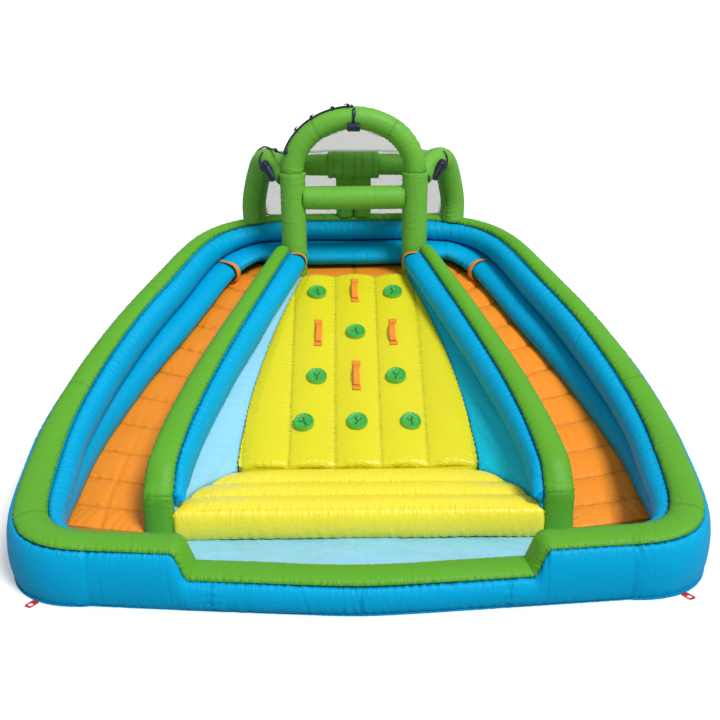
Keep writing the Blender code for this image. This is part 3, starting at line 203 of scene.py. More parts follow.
class SlideFinish(bpy.types.PropertyGroup):
    """Colours, folds and lamps that a user would change."""

    blue: bpy.props.FloatVectorProperty(
        name="Blue fabric", description="Walls, rolls and dividers", subtype="COLOR_GAMMA", size=3,
        default=(0.0, 0.64, 0.84), min=0, max=1)
    # the pale colour is the floor's own, and also the left gusset's colour painted paler as lit
    pale: bpy.props.FloatVectorProperty(
        name="Pale fabric", description="Pool floor and gussets", subtype="COLOR_GAMMA", size=3,
        default=(0.56, 0.81, 0.93), min=0, max=1)
    # posts and arches take a copy of this green painted lighter as lit
    green: bpy.props.FloatVectorProperty(
        name="Green fabric", description="Caps, posts and arches", subtype="COLOR_GAMMA", size=3,
        default=(0.36, 0.65, 0.16), min=0, max=1)
    orange: bpy.props.FloatVectorProperty(
        name="Orange fabric", description="Lanes and platform", subtype="COLOR_GAMMA", size=3,
        default=(0.98, 0.58, 0.16), min=0, max=1)
    yellow: bpy.props.FloatVectorProperty(
        name="Yellow fabric", description="Climbing wall and pad", subtype="COLOR_GAMMA", size=3,
        default=(0.86, 0.83, 0.12), min=0, max=1)
    fold_depth: bpy.props.FloatProperty(
        name="Fold depth", description="Height of the folds beside a seam", unit="LENGTH",
        default=0.0045, min=0, max=0.02)
    mesh_step: bpy.props.FloatProperty(
        name="Mesh step", description="Distance between rows of points", unit="LENGTH",
        default=0.010, min=0.006, max=0.05)
    key_power: bpy.props.FloatProperty(
        name="Key light", description="Strength of the sun lamp", default=2.7, min=0, max=10)
    sky_strength: bpy.props.FloatProperty(
        name="Sky light", description="Strength of the even light from all round", default=0.5, min=0, max=3)


def finish():
    return bpy.context.scene.slide_finish


# Numbers


def blend(first, last, share):
    return first + (last - first) * share


def ease(share, strength):
    """A share that starts and ends gently."""
    return share - strength * np.sin(2 * np.pi * share) / (2 * np.pi)


def smooth(share):
    share = np.clip(share, 0, 1)
    return share * share * (3 - 2 * share)


def line_noise(places, pitch, seed):
    """Smooth noise from -1 to 1 along a line."""
    table = np.random.default_rng(seed).uniform(-1, 1, 512)
    place = np.asarray(places, float) / pitch
    cell = np.floor(place).astype(int)
    local = smooth(place - cell)
    return table[cell % 512] * (1 - local) + table[(cell + 1) % 512] * local


def space_noise(points, pitch, seed):
    """Smooth noise from -1 to 1 in space."""
    table = np.random.default_rng(seed).uniform(-1, 1, (16, 16, 16))
    place = np.asarray(points, float) / pitch + 64
    cell = np.floor(place).astype(int)
    local = smooth(place - cell)
    total = 0
    for corner in np.ndindex(2, 2, 2):
        weight = 1
        for axis, step in enumerate(corner):
            weight = weight * (local[..., axis] if step else 1 - local[..., axis])
        index = [(cell[..., axis] + step) % 16 for axis, step in enumerate(corner)]
        total = total + weight * table[tuple(index)]
    return total


def ripple(places, pitch, seed):
    """Uneven waves, as of gathered cloth, from -1 to 1."""
    warped = places + pitch * 0.7 * line_noise(places, 2.6 * pitch, seed)
    height = 0.6 + 0.4 * line_noise(places, 3.7 * pitch, seed + 1)
    wave = np.sin(2 * np.pi * warped / pitch) + 0.35 * np.sin(2 * np.pi * warped / (0.47 * pitch) + 1)
    return wave * height / 1.35


def bezier(knots, shares):
    knots = np.asarray(knots, float)
    t = np.asarray(shares)[:, None]
    rest = 1 - t
    return rest**3 * knots[0] + 3 * rest**2 * t * knots[1] + 3 * rest * t**2 * knots[2] + t**3 * knots[3]


def lengths_along(points):
    return np.concatenate(([0], np.cumsum(np.linalg.norm(np.diff(points, axis=0), axis=1))))


def resample(points, step=None, count=None):
    """The same line with points at even distances."""
    points = np.asarray(points, float)
    reached = lengths_along(points)
    count = count or max(int(round(reached[-1] / step)), 2)
    targets = np.linspace(0, reached[-1], count + 1)
    return np.stack([np.interp(targets, reached, points[:, k]) for k in range(points.shape[1])], axis=1)


def smooth_line(points, count=40):
    """A smooth curve through the points."""
    points = np.asarray(points, float)
    found = []
    for i in range(len(points) - 1):
        before, first = points[max(i - 1, 0)], points[i]
        second, after = points[i + 1], points[min(i + 2, len(points) - 1)]
        knots = (first, first + (second - before) / 6, second - (after - first) / 6, second)
        found.append(bezier(knots, np.linspace(0, 1, count, endpoint=False)))
    return np.vstack(found + [points[-1:]])


def directions(points):
    ahead = np.gradient(np.asarray(points, float), axis=0)
    return ahead / np.linalg.norm(ahead, axis=1)[:, None]


def leftwards(ways):
    """Ways in a plane, turned a quarter to the left."""
    return np.stack((-ways[:, 1], ways[:, 0]), axis=1)


def points_of(*places):
    """Points from their coordinates, each of them a number or a list."""
    return np.stack(np.broadcast_arrays(*places), axis=1)


def unit(vector):
    return vector / np.linalg.norm(vector)


def square_off(vector, way):
    """The part of a vector that is square to a way, at length one."""
    return unit(vector - way * vector.dot(way))


def straight(first, last):
    return resample([first, last], finish().mesh_step)


# Chambers


class Skin:
    """A closed chamber: rows of points along it, each row a loop round it."""

    def __init__(self, rows):
        self.rows = np.asarray(rows, float)
        steps = np.linalg.norm(np.diff(self.rows, axis=0), axis=2)
        self.along = np.concatenate(([0], np.cumsum(np.median(steps, axis=1))))
        turns = np.linalg.norm(np.roll(self.rows, -1, axis=1) - self.rows, axis=2)
        reached = np.cumsum(turns, axis=1)
        self.around = np.concatenate((np.zeros((len(turns), 1)), reached), axis=1)
        self.push = np.zeros(self.rows.shape[:2])
        self.crease = np.zeros(self.rows.shape[:2])
        self.near = np.zeros(self.rows.shape[:2])

    def off_column(self, column):
        """Distance of each point from a column, measured round the row."""
        gap = np.abs(self.around[:, :-1] - self.around[:, column:column + 1])
        return np.minimum(gap, self.around[:, -1:] - gap)

    def fold_beside(self, gap, line, folds, reach, pitch, seed):
        """Folds that start at a seam and die away across it; gap is the distance from the seam."""
        length = reach * (1 + 0.55 * line_noise(line, 1.4 * pitch, seed + 5))
        wide = ripple(line, pitch, seed) * np.exp(-gap / length)
        narrow = ripple(line, 0.42 * pitch, seed + 9) * np.exp(-gap / (0.35 * length))
        self.push += folds * finish().fold_depth * (wide + 0.5 * narrow)
        self.near = np.maximum(self.near, np.exp(-gap / reach))

    def stitch(self, gap, depth, width, dark=1.0):
        """Draw the cloth in along a line of stitches."""
        self.push -= depth * np.exp(-(gap / width) ** 2)
        # the crease level darkens cloth along the stitch line: painted shade and dirt in the seam
        self.crease = np.maximum(self.crease, dark * np.exp(-(gap / STITCH_WIDTH) ** 2))

    def seam(self, column, depth, folds, reach, pitch, seed, width=0.012):
        """A seam along the chamber at a column, with folds across it."""
        gap = self.off_column(column)
        self.fold_beside(gap, self.along[:, None] + 0.3 * gap, folds, reach, pitch, seed)
        self.stitch(gap, depth, width)

    def seams(self, columns, depth, folds, reach, pitch, seed, width=0.012):
        """Like seams at several columns."""
        for number, column in enumerate(columns):
            self.seam(column, depth, folds, reach, pitch, seed + number, width)

    def cross_seam(self, place, depth, folds, reach, pitch, seed, width=0.012):
        """A seam round the chamber at a distance along it."""
        gap = np.abs(self.along[:, None] - place)
        self.fold_beside(gap, self.around[:, :-1], folds, reach, pitch, seed)
        self.stitch(gap, depth, width)

    def cross_seams(self, shares, depth, folds, reach, pitch, seed, width=0.012):
        """Like seams round the chamber at shares of its length."""
        for number, share in enumerate(shares):
            self.cross_seam(self.along[-1] * share, depth, folds, reach, pitch, seed + number, width)

    def buckles(self, pitch, depth, seed, reach=0.12):
        """Short slanting dents where a curved chamber buckles."""
        dice = np.random.default_rng(seed)
        line = self.around[:, :-1]
        for place in np.arange(pitch * 0.6, self.along[-1], pitch):
            place = place + dice.uniform(-0.25, 0.25) * pitch
            centre = dice.uniform(0, 1) * self.around[0, -1]
            gap = self.along[:, None] - place - dice.uniform(-0.35, 0.35) * (line - centre)
            dent = np.exp(-(gap / 0.009) ** 2) - 0.5 * np.exp(-((gap - 0.022) / 0.012) ** 2)
            self.push -= depth * dice.uniform(0.6, 1.2) * dent * np.exp(-(((line - centre) / reach) ** 2))

    def swell(self, amount, pitch, seed):
        """Gentle unevenness of the whole chamber."""
        self.push += amount * space_noise(self.rows, pitch, seed)

    def round_ends(self, radius):
        """Draw the first and last rows in, so that the chamber ends in a curve."""
        left = np.minimum(self.along, self.along[-1] - self.along)
        share = np.clip(1 - left / radius, 0, 1)
        self.push -= (radius * (1 - np.sqrt(1 - share**2)))[:, None]

    def normals(self):
        along = np.gradient(self.rows, axis=0)
        around = np.roll(self.rows, -1, axis=1) - np.roll(self.rows, 1, axis=1)
        normal = np.cross(along, around)
        normal /= np.linalg.norm(normal, axis=2)[..., None] + 1e-12
        centre = self.rows.mean(axis=1, keepdims=True)
        outwards = np.sum(normal * (self.rows - centre)) > 0
        return normal if outwards else -normal

    def build(self, name, made_of, sharp=50, closed=False):
        """Make the piece; a closed one runs back into its first row, and nothing sinks into the ground."""
        points = self.rows + self.normals() * self.push[..., None]
        points[..., 2] = np.maximum(points[..., 2], 0)
        return mesh_of_rows(self, points, name, made_of, sharp, closed)


def mesh_of_rows(skin, points, name, made_of, sharp, closed):
    """The chamber's faces, with its lengths in metres as UVs and its creases as attributes."""
    crease, near = skin.crease, skin.near
    rows, columns = points.shape[:2]
    index = np.arange(rows * columns).reshape(rows, columns)
    first, second = index[:-1], index[1:]
    if closed:
        first, second = index[:-1], np.vstack((index[1:-1], index[:1]))
    quads = np.stack((first, np.roll(first, -1, axis=1), np.roll(second, -1, axis=1), second), axis=2)
    quads = quads.reshape(-1, 4)
    ends = [points[0].mean(axis=0), points[-1].mean(axis=0)]
    centre = rows * columns
    start = np.stack((index[0], np.full(columns, centre), np.roll(index[0], -1)), axis=1)
    stop = np.stack((np.roll(index[-1], -1), np.full(columns, centre + 1), index[-1]), axis=1)
    verts = np.vstack((points.reshape(-1, 3), ends))
    wide = skin.around[:, :-1]
    over = skin.around[:, 1:]
    long = np.broadcast_to(skin.along[:, None], wide.shape)
    corners = np.stack((
        np.stack((long[:-1], wide[:-1]), axis=2), np.stack((long[:-1], over[:-1]), axis=2),
        np.stack((long[1:], over[1:]), axis=2), np.stack((long[1:], wide[1:]), axis=2),
    ), axis=2).reshape(-1, 2)
    faces = quads.tolist()
    if closed:
        verts = verts[:centre - columns]
        crease, near = crease[:-1], near[:-1]
    else:
        corners = np.vstack((corners, np.zeros((6 * columns, 2))))
        faces += start.tolist() + stop.tolist()
    mesh = bpy.data.meshes.new(name)
    mesh.from_pydata(verts.tolist(), [], faces)
    a, b, c, d = (verts[quads[:, k]] for k in range(4))
    volume = (a * (np.cross(b, c) + np.cross(c, d))).sum()
    layer = mesh.uv_layers.new(name="metres")
    layer.data.foreach_set("uv", corners.ravel().astype(np.float32))
    for title, values in (("crease", crease), ("near", near)):
        attribute = mesh.attributes.new(title, "FLOAT", "POINT")
        level = np.zeros(len(verts), np.float32)
        level[:values.size] = values.ravel()
        attribute.data.foreach_set("value", level)
    if volume < 0:
        mesh.flip_normals()
    mesh.shade_smooth()
    mesh.set_sharp_from_angle(angle=math.radians(sharp))
    mesh.materials.append(made_of)
    return in_scene(name, mesh)


def dress(piece, nodes, body="slide", bend=None):
    """Let a piece stand for its solids and ride with their body; with a bend given, it only has its placing
    baked in and rides with no body.
    """
    if bend:
        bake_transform(piece)
    else:
        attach(piece, body)
    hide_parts(*nodes)


def tube_rows(points, radii, sides=32, side_hint=(0, 1, 0)):
    """Loops about a line in space, with no twist between them."""
    points = np.asarray(points, float)
    radii = np.broadcast_to(radii, len(points))
    ahead = directions(points)
    turns = np.linspace(0, 2 * np.pi, sides, endpoint=False)
    side = np.asarray(side_hint, float)
    rows = []
    for here, way, radius in zip(points, ahead, radii):
        side = side - way * side.dot(way)
        side /= np.linalg.norm(side)
        up = np.cross(way, side)
        rows.append(here + radius * (np.outer(np.cos(turns), side) + np.outer(np.sin(turns), up)))
    return np.array(rows)


# Materials


def node(tree, kind, **values):
    made = tree.nodes.new(kind)
    for key, value in values.items():
        setattr(made, key, value)
    return made


def socket_value(made, **values):
    for key, value in values.items():
        made.inputs[key.replace("_", " ")].default_value = value
    return made


def linear(colour):
    """A colour as written on screen, as the shader wants it."""
    return tuple(c / 12.92 if c <= 0.04045 else ((c + 0.055) / 1.055) ** 2.4 for c in colour)


class Shading:
    """A material in the making, with short ways to add the nodes that these finishes share."""

    def __init__(self, name, colour):
        self.made = bpy.data.materials.new(name)
        self.made.use_nodes = True
        self.tree = self.made.node_tree
        self.link = self.tree.links.new
        self.shader = self.tree.nodes["Principled BSDF"]
        self.base = linear(colour)
        self.made.diffuse_color = (*self.base, 1)
        self.place = node(self.tree, "ShaderNodeTexCoord").outputs
        self.relief = None

    def level(self, title):
        """What the mesh says at each point: its crease, or how near a seam is."""
        return node(self.tree, "ShaderNodeAttribute", attribute_name=title).outputs["Fac"]

    def noise(self, scale, detail, at=None, **sockets):
        made = socket_value(node(self.tree, "ShaderNodeTexNoise"), Scale=scale, Detail=detail, **sockets)
        self.link(at or self.place["Object"], made.inputs["Vector"])
        return made.outputs["Fac"]

    def threads(self, axis, scale, **sockets):
        made = node(self.tree, "ShaderNodeTexWave", bands_direction=axis)
        self.link(self.place["UV"], socket_value(made, Scale=scale, **sockets).inputs["Vector"])
        return made.outputs["Fac"]

    def mix(self, share, first, second, way="MIX"):
        """Mix a colour from a node with another one or with a plain colour."""
        made = node(self.tree, "ShaderNodeMix", data_type="RGBA", blend_type=way)
        self.link(share, made.inputs[0])
        for socket, colour in ((6, first), (7, second)):
            if isinstance(colour, tuple):
                made.inputs[socket].default_value = (*colour, 1)
            else:
                self.link(colour, made.inputs[socket])
        return made.outputs[2]

    def tint(self, share, dark, light, lift=0.0):
        """The base colour, from a darker to a lighter shade."""
        darker = tuple(c * dark for c in self.base)
        return self.mix(share, darker, tuple(min(c * light + lift, 1) for c in self.base))

    def colour(self, colour, tone):
        """Set the colour, darkened to a tone where the crease level is high: painted shade and dirt along
        seams and folds for cloth and grips, real stitching and hems for webbing and net.
        """
        creased = self.mix(self.level("crease"), colour, tone, "MULTIPLY")
        self.link(creased, self.shader.inputs["Base Color"])

    def sheen(self, share, low, high):
        span = socket_value(node(self.tree, "ShaderNodeMapRange"), To_Min=low, To_Max=high)
        self.link(share, span.inputs["Value"])
        self.link(span.outputs["Result"], self.shader.inputs["Roughness"])

    def bump(self, height, distance, strength):
        """Add relief to the relief so far; its strength is a number or a level."""
        made = socket_value(node(self.tree, "ShaderNodeBump"), Distance=distance)
        if isinstance(strength, float):
            made.inputs["Strength"].default_value = strength
        else:
            self.link(strength, made.inputs["Strength"])
        self.link(height, made.inputs["Height"])
        if self.relief:
            self.link(self.relief, made.inputs["Normal"])
        self.relief = made.outputs["Normal"]
        self.link(self.relief, self.shader.inputs["Normal"])


def fabric(name, colour, roughness=0.40, fold_bump=1.0, coat=0.0, shine=0.28):
    """Coated cloth: fine weave, soft folds beside the seams, seam lines darkened by painted shade and dirt,
    and uneven sheen.
    """
    cloth = Shading(name, colour)
    # colour wanders at random, and is darkened along the seams: painted shade and dirt in the seam creases
    cloth.colour(cloth.tint(cloth.noise(2.3, 3.0, Roughness=0.55), 0.93, 1.05), (0.74, 0.77, 0.80))
    cloth.sheen(cloth.noise(9.0, 2.0), roughness - 0.05, roughness + 0.07)
    # relief: gathers that run away from the seams, small creases and the weave
    stretch = node(cloth.tree, "ShaderNodeMapping")
    stretch.inputs["Scale"].default_value = (1.0, 0.22, 1.0)
    cloth.link(cloth.place["UV"], stretch.inputs["Vector"])
    gathers = cloth.noise(46.0, 2.0, stretch.outputs["Vector"], Distortion=0.6)
    cloth.bump(gathers, 0.018 * fold_bump, cloth.level("near"))
    cloth.bump(cloth.noise(11.0, 4.0, Roughness=0.6, Distortion=1.2), 0.010 * fold_bump, 0.4)
    for axis in ("X", "Y"):
        cloth.bump(cloth.threads(axis, 120.0), 0.0004, 0.25)
    cloth.shader.inputs["Specular IOR Level"].default_value = shine
    cloth.shader.inputs["Coat Weight"].default_value = coat
    cloth.shader.inputs["Coat Roughness"].default_value = 0.18
    return cloth.made


def webbing(name, colour):
    """Woven strap: ribs across, darker stitching, matt."""
    strap = Shading(name, colour)
    ribs = strap.threads("X", 75.0, Distortion=0.3)
    strap.colour(strap.tint(strap.noise(60.0, 3.0), 0.84, 1.08), (0.45, 0.2475, 0.18))
    strap.sheen(ribs, 0.62, 0.78)
    strap.bump(ribs, 0.001, 0.6)
    return strap.made


def moulded(name, colour, roughness, rim=(1, 1, 1)):
    """Moulded plastic or rubber: fine grain, uneven sheen, creases darkened by painted shade, its own colour
    at the rim.
    """
    plastic = Shading(name, colour)
    cloud = plastic.noise(22.0, 3.0)
    rimmed = plastic.mix(plastic.level("near"), plastic.tint(cloud, 0.82, 1.12, 0.004), linear(rim))
    # creases, such as a grip's fork of folds, are darkened: painted shade
    plastic.colour(rimmed, (0.12, 0.22, 0.14))
    plastic.sheen(cloud, roughness - 0.08, roughness + 0.08)
    plastic.bump(plastic.noise(240.0, 2.0), 0.0006, 0.5)
    return plastic.made


def netting(name, colour):
    """Fine net: threads in both directions with clear gaps, closer at the hem and seams."""
    net = Shading(name, colour)
    most = node(net.tree, "ShaderNodeMath", operation="MAXIMUM")
    for socket, axis in enumerate(("X", "Y")):
        net.link(net.threads(axis, 95.0), most.inputs[socket])
    cover = socket_value(
        node(net.tree, "ShaderNodeMapRange"), From_Min=0.25, From_Max=0.9, To_Min=0.14, To_Max=0.42)
    net.link(most.outputs[0], cover.inputs["Value"])
    full = node(net.tree, "ShaderNodeMath", operation="MAXIMUM")
    net.link(cover.outputs["Result"], full.inputs[0])
    net.link(net.level("crease"), full.inputs[1])
    net.link(full.outputs[0], net.shader.inputs["Alpha"])
    cloud = net.noise(5.0, 2.0)
    net.colour(net.tint(cloud, 0.9, 1.06), (0.55, 0.53, 0.58))
    net.sheen(cloud, 0.6, 0.8)
    net.bump(most.outputs[0], 0.001, 0.4)
    return net.made


def towards(colour, other, share):
    return blend(np.array(colour), np.array(other), share)


FINISHES = {
    "blue_cloth": lambda name, look: fabric(name, look.blue, shine=0.09),
    "green_cloth": lambda name, look: fabric(name, look.green, roughness=0.46, shine=0.26),
    # posts, arches, bars and the rear post are the caps' green fabric, painted lighter as lit from the front
    "lit_tube_cloth": lambda name, look: fabric(
        name, towards(look.green, (0.58, 0.85, 0.46), 0.24), roughness=0.44),
    "orange_cloth": lambda name, look: fabric(name, look.orange, roughness=0.42),
    "yellow_cloth": lambda name, look: fabric(name, look.yellow, roughness=0.30, coat=0.25),
    # the pad is the climbing wall's yellow vinyl, painted brighter as lit
    "lit_pad_cloth": lambda name, look: fabric(
        name, towards(look.yellow, (1.4, 1.15, 0.7), 0.2), roughness=0.26, coat=0.4),
    # the gussets are one fabric in lit and shaded copies: the left one painted paler as lit, the right one a
    # mid blue as in shade
    "lit_gusset_cloth": lambda name, look: fabric(name, look.pale, roughness=0.36),
    "shaded_gusset_cloth": lambda name, look: fabric(name, towards(look.blue, (0.25, 1.0, 1.0), 0.32), shine=0.10),
    "floor_cloth": lambda name, look: fabric(name, look.pale, roughness=0.28, coat=0.3, fold_bump=1.6),
    "orange_web": lambda name, look: webbing(name, (0.96, 0.56, 0.16)),
    "red_web": lambda name, look: webbing(name, (0.84, 0.12, 0.18)),
    "grip_green": lambda name, look: moulded(name, (0.22, 0.66, 0.26), 0.40, rim=(0.60, 0.80, 0.28)),
    "navy_rubber": lambda name, look: moulded(name, (0.06, 0.10, 0.20), 0.45),
    "navy_plastic": lambda name, look: moulded(name, (0.07, 0.13, 0.25), 0.34),
    "net_grey": lambda name, look: netting(name, (0.86, 0.84, 0.86)),
}


def material(name):
    """A finish by its name, made the first time that a piece asks for it."""
    return bpy.data.materials.get(name) or FINISHES[name](name, finish())


def cover(chamber, name, cloth, solid, fill):
    """Build a chamber in its cloth, in place of its solid."""
    dress(chamber.build(name, material(cloth)), [solid])


# The ring's plan


class Plan:
    """Fine stations of one half of the perimeter wall, from the rear centre to the corner seam."""

    def __init__(self, side):
        step = finish().mesh_step
        knots = [[(side * x * RING_X, y * RING_Y) for x, y in bend] for bend in RING_BENDS]
        knots[0][0] = (side * DECK_HALF, RING_Y)
        fine = np.linspace(0, 1, 300)
        lane = resample(np.vstack([bezier(knots[0], fine), bezier(knots[1], fine)[1:]]), step)
        corner = resample(bezier(knots[2], fine), step)
        rear = straight((side * GAP, RING_Y), (side * DECK_HALF, RING_Y))
        self.at = np.vstack([rear[:-1], lane, corner[1:]])
        self.lane_rows = slice(len(rear) - 1, len(rear) - 1 + len(lane))
        reached = lengths_along(self.at) - DECK_HALF
        self.share = np.clip(reached / reached[-1], 0, 1)
        self.lane_length = lengths_along(lane)[-1]
        self.lane_share = np.clip(reached / self.lane_length, 0, 1)
        ahead = directions(self.at)
        front = unit(np.array((0, -RING_Y)) - self.at[-1])
        turn = smooth(1 - (reached[-1] - reached) / 0.12)[:, None]
        ahead = ahead * (1 - turn) + front * turn
        ahead /= np.linalg.norm(ahead, axis=1)[:, None]
        self.out = side * leftwards(ahead)
        self.top = blend(REAR_TOP, CORNER_TOP, ease(self.share, RING_EASE))

    def raise_rows(self, sections):
        return raised(self.at, self.out, sections)


def raised(at, out, sections):
    """Rows of points over a line in plan, each from an outline of outward distance and height."""
    sections = np.asarray(sections)
    flat = at[:, None, :] + out[:, None, :] * sections[..., :1]
    return np.concatenate((flat, sections[..., 1:]), axis=2)


def lane_top(lane_share):
    """Height of the lane's bed, level at first and then falling."""
    share = np.clip((lane_share * LANE_STEPS - 1) / (LANE_STEPS - 1), 0, 1)
    return blend(DECK_TOP, LANE_END_TOP, ease(share, LANE_EASE))


def quarter(centre, reach, rise, angles):
    """Points of an ellipse between angles."""
    return [(centre[0] + reach * math.cos(a), centre[1] + rise * math.sin(a)) for a in np.radians(angles)]


def strip_width(share):
    return blend(CAP_REAR_WIDTH, CAP_WIDTH, share)


def wall_outline(top, strip=CAP_WIDTH):
    """A wall's section: upright inside, flat under its cap, bellied outside, with a lip at the foot."""
    belly, high = top * 0.5, top - 0.003
    upper = quarter((strip - 0.004, belly), WALL_DEPTH - strip + 0.004, high - belly, np.linspace(90, 0, 13))
    reach = WALL_DEPTH - WALL_FOOT + 0.01
    lower = quarter((WALL_FOOT - 0.01, belly), reach, belly - 0.002, np.linspace(0, -90, 11)[1:-1])
    inner = [(0.002, 0.002), (0.002, top * 0.33), (0.002, top * 0.66), (0.002, high), (strip / 2, high)]
    lip = [(WALL_FOOT + 0.008, 0.007), (WALL_FOOT + 0.008, 0.002)]
    return inner + upper + lower + lip + [(WALL_FOOT / 2, 0.002)]


def cap_outline(base, width=CAP_WIDTH):
    """A padded strip: flat below, crowned above, with rolled edges."""
    across = np.linspace(-1, 1, 17)
    rise = CAP_EDGE + (CAP_CROWN - CAP_EDGE) * (1 - np.abs(across) ** 2.4)
    rise[[0, -1]] = CAP_EDGE * 0.55
    top = [(width / 2 * (1 + c), base + h) for c, h in zip(across[::-1], rise)]
    return [(0.004, base), (width / 2, base + 0.003), (width - 0.004, base)] + top


# Columns of the outlines where they are sewn
WALL_CAP_SEAM, WALL_FOOT_SEAM = 5, 27
CAP_EDGES = (3, 19)
ROLL_LOW_SEAM, ROLL_HIGH_SEAM = 2, 20


def roll_outline(low, high, reach, side=-1, count=19):
    """A roll with a flat back on its wall and a round front."""
    middle, half = (low + high) / 2, (high - low) / 2
    angles = np.radians(np.linspace(-88, 88, count))
    front = [(side * (0.003 + reach * math.cos(a) ** 0.85), middle + half * math.sin(a)) for a in angles]
    lower, upper = (side * 0.001, low + half * 0.1), (side * 0.001, high - half * 0.1)
    return [(side * 0.001, middle), lower] + front + [upper]


def roll_limits(plan):
    """The lower roll's foot, the seam between the rolls, and how far the lower and the upper one reach."""
    bottom = lane_top(plan.lane_share) + LANE_CROWN + ROLL_CLEARANCE
    seam = (plan.top + bottom) / 2
    bottom = bottom - 0.036 * smooth((0.04 - plan.share) / 0.04)
    lower = blend(LOWER_REACH, LOWER_FRONT_REACH, ease(plan.share, LOWER_EASE))
    lower = lower + REAR_ROLL_EXTRA * smooth((0.05 - plan.share) / 0.04)
    upper = np.minimum(UPPER_REACH, (plan.top - seam) * 0.6)
    return bottom, seam, lower, upper


def side_word(side):
    return "left" if side < 0 else "right"


def build_walls(side):
    plan = Plan(side)
    seed = 10 if side < 0 else 40
    word = side_word(side)
    strips = strip_width(plan.share)
    wall = Skin(plan.raise_rows([wall_outline(top, strip) for top, strip in zip(plan.top, strips)]))
    wall.swell(0.010, 0.7, seed)
    wall.buckles(0.16, 0.004, seed + 50, 0.16)
    wall.seam(WALL_CAP_SEAM, 0.004, 1.5, 0.05, 0.07, seed + 1)
    wall.seam(WALL_FOOT_SEAM, 0.003, 1.3, 0.05, 0.09, seed + 2)
    wall.cross_seams((0.10, 0.36, 0.62, 0.84), 0.003, 0.6, 0.05, 0.08, seed + 20, 0.008)
    cover(wall, "wall_" + word, "blue_cloth", "outer_wall_" + word, 0.95)

    cap = Skin(plan.raise_rows([cap_outline(top + GAP, strip) for top, strip in zip(plan.top, strips)]))
    cap.swell(0.003, 0.3, seed + 3)
    cap.buckles(0.11, 0.003, seed + 51, 0.07)
    cap.seams(CAP_EDGES, 0.002, 0.9, 0.075, 0.055, seed + 4)
    for number, share in enumerate((0.045, 0.40, 0.60, 0.845)):
        cap.cross_seam(wall.along[-1] * share, 0.005, 0.8, 0.03, 0.05, seed + 30 + number, 0.009)
    cover(cap, "wall_cap_" + word, "green_cloth", "cap_" + word, 0.9)

    bottom, seam, lower, upper = roll_limits(plan)
    for level, low, high, reach, swell, pitch, start, dent in (
            ("upper", seam + 0.001, plan.top, upper, 0.005, 0.13, 6, 52),
            ("lower", bottom, seam - 0.001, lower, 0.006, 0.12, 9, 53)):
        roll = Skin(plan.raise_rows([roll_outline(*row) for row in zip(low, high, reach)]))
        roll.swell(swell, 0.35, seed + start)
        roll.buckles(pitch, 0.004, seed + dent)
        roll.seam(ROLL_LOW_SEAM, 0.004, 1.4, 0.085, 0.06, seed + start + 1)
        roll.seam(ROLL_HIGH_SEAM, 0.004, 1.2, 0.085, 0.06, seed + start + 2)
        cover(roll, "%s_roll_cloth_%s" % (level, word), "blue_cloth", "%s_roll_%s" % (level, word), 0.9)


class SLIDE_OT_walls(bpy.types.Operator):
    """Sew the perimeter walls with their caps and rolls"""

    bl_idname = "slide.walls"
    bl_label = "Walls, caps and rolls"

    def execute(self, context):
        for side in (-1, 1):
            build_walls(side)
        return {"FINISHED"}


# Front wall


def front_path():
    """The front wall's inner edge from the left corner seam to the right one, and its tops."""
    seam = np.array(RING_BENDS[-1][-1]) * (RING_X, RING_Y)
    step = finish().mesh_step
    x = np.arange(-seam[0] + GAP, seam[0], step / 2)
    x = np.append(x, seam[0] - GAP)
    round_off = 0.16
    rise = (np.sqrt(x**2 + round_off**2) - round_off) / (math.hypot(seam[0], round_off) - round_off)
    y = blend(-RING_Y, seam[1], rise)
    drop = smooth((ENTRY_HALF + ENTRY_STEP * 1.15 - np.abs(x)) / (ENTRY_STEP * 1.3))
    top = blend(CORNER_TOP, ENTRY_TOP, drop)
    return resample(points_of(x, y, top), step)


def build_front():
    line = front_path()
    at, top = line[:, :2], line[:, 2]
    ahead = directions(at)
    out = -leftwards(ahead)
    wall = Skin(raised(at, out, [wall_outline(t) for t in top]))
    wall.swell(0.008, 0.6, 70)
    wall.buckles(0.14, 0.004, 90, 0.14)
    wall.seam(WALL_CAP_SEAM, 0.004, 1.5, 0.05, 0.06, 71)
    wall.seam(WALL_FOOT_SEAM, 0.003, 1.3, 0.05, 0.08, 72)
    wall.cross_seams((0.235, 0.50, 0.765), 0.003, 1.0, 0.05, 0.06, 75, 0.008)
    cover(wall, "front_wall_cloth", "blue_cloth", "front_wall", 0.95)

    slope = directions(line)
    outward = points_of(*out.T, 0.0)
    up = np.cross(outward, slope)
    up *= np.sign(up[:, 2])[:, None]
    outline = np.array(cap_outline(0.0))
    base = line + up * GAP
    sideways, upwards = outline[None, :, :1], outline[None, :, 1:]
    cap = Skin(base[:, None, :] + outward[:, None, :] * sideways + up[:, None, :] * upwards)
    cap.swell(0.003, 0.3, 80)
    cap.buckles(0.10, 0.003, 91, 0.07)
    cap.seams(CAP_EDGES, 0.002, 0.9, 0.035, 0.05, 81)
    cover(cap, "front_cap_cloth", "green_cloth", "front_cap", 0.9)


class SLIDE_OT_front(bpy.types.Operator):
    """Sew the low front wall with its stepped cap"""

    bl_idname = "slide.front"
    bl_label = "Front wall"

    def execute(self, context):
        build_front()
        return {"FINISHED"}


# Lanes and platform


def divider_line(side, count=240):
    """The divider's outer face in plan, from the platform to its nose."""
    start = np.array(DIVIDER_START)
    span = np.array(DIVIDER_NOSE) - start
    handles = [start + span * np.array(share) for share in DIVIDER_HANDLES]
    line = resample(bezier([start, *handles, start + span], np.linspace(0, 1, 400)), count=count)
    return line * (side, 1)


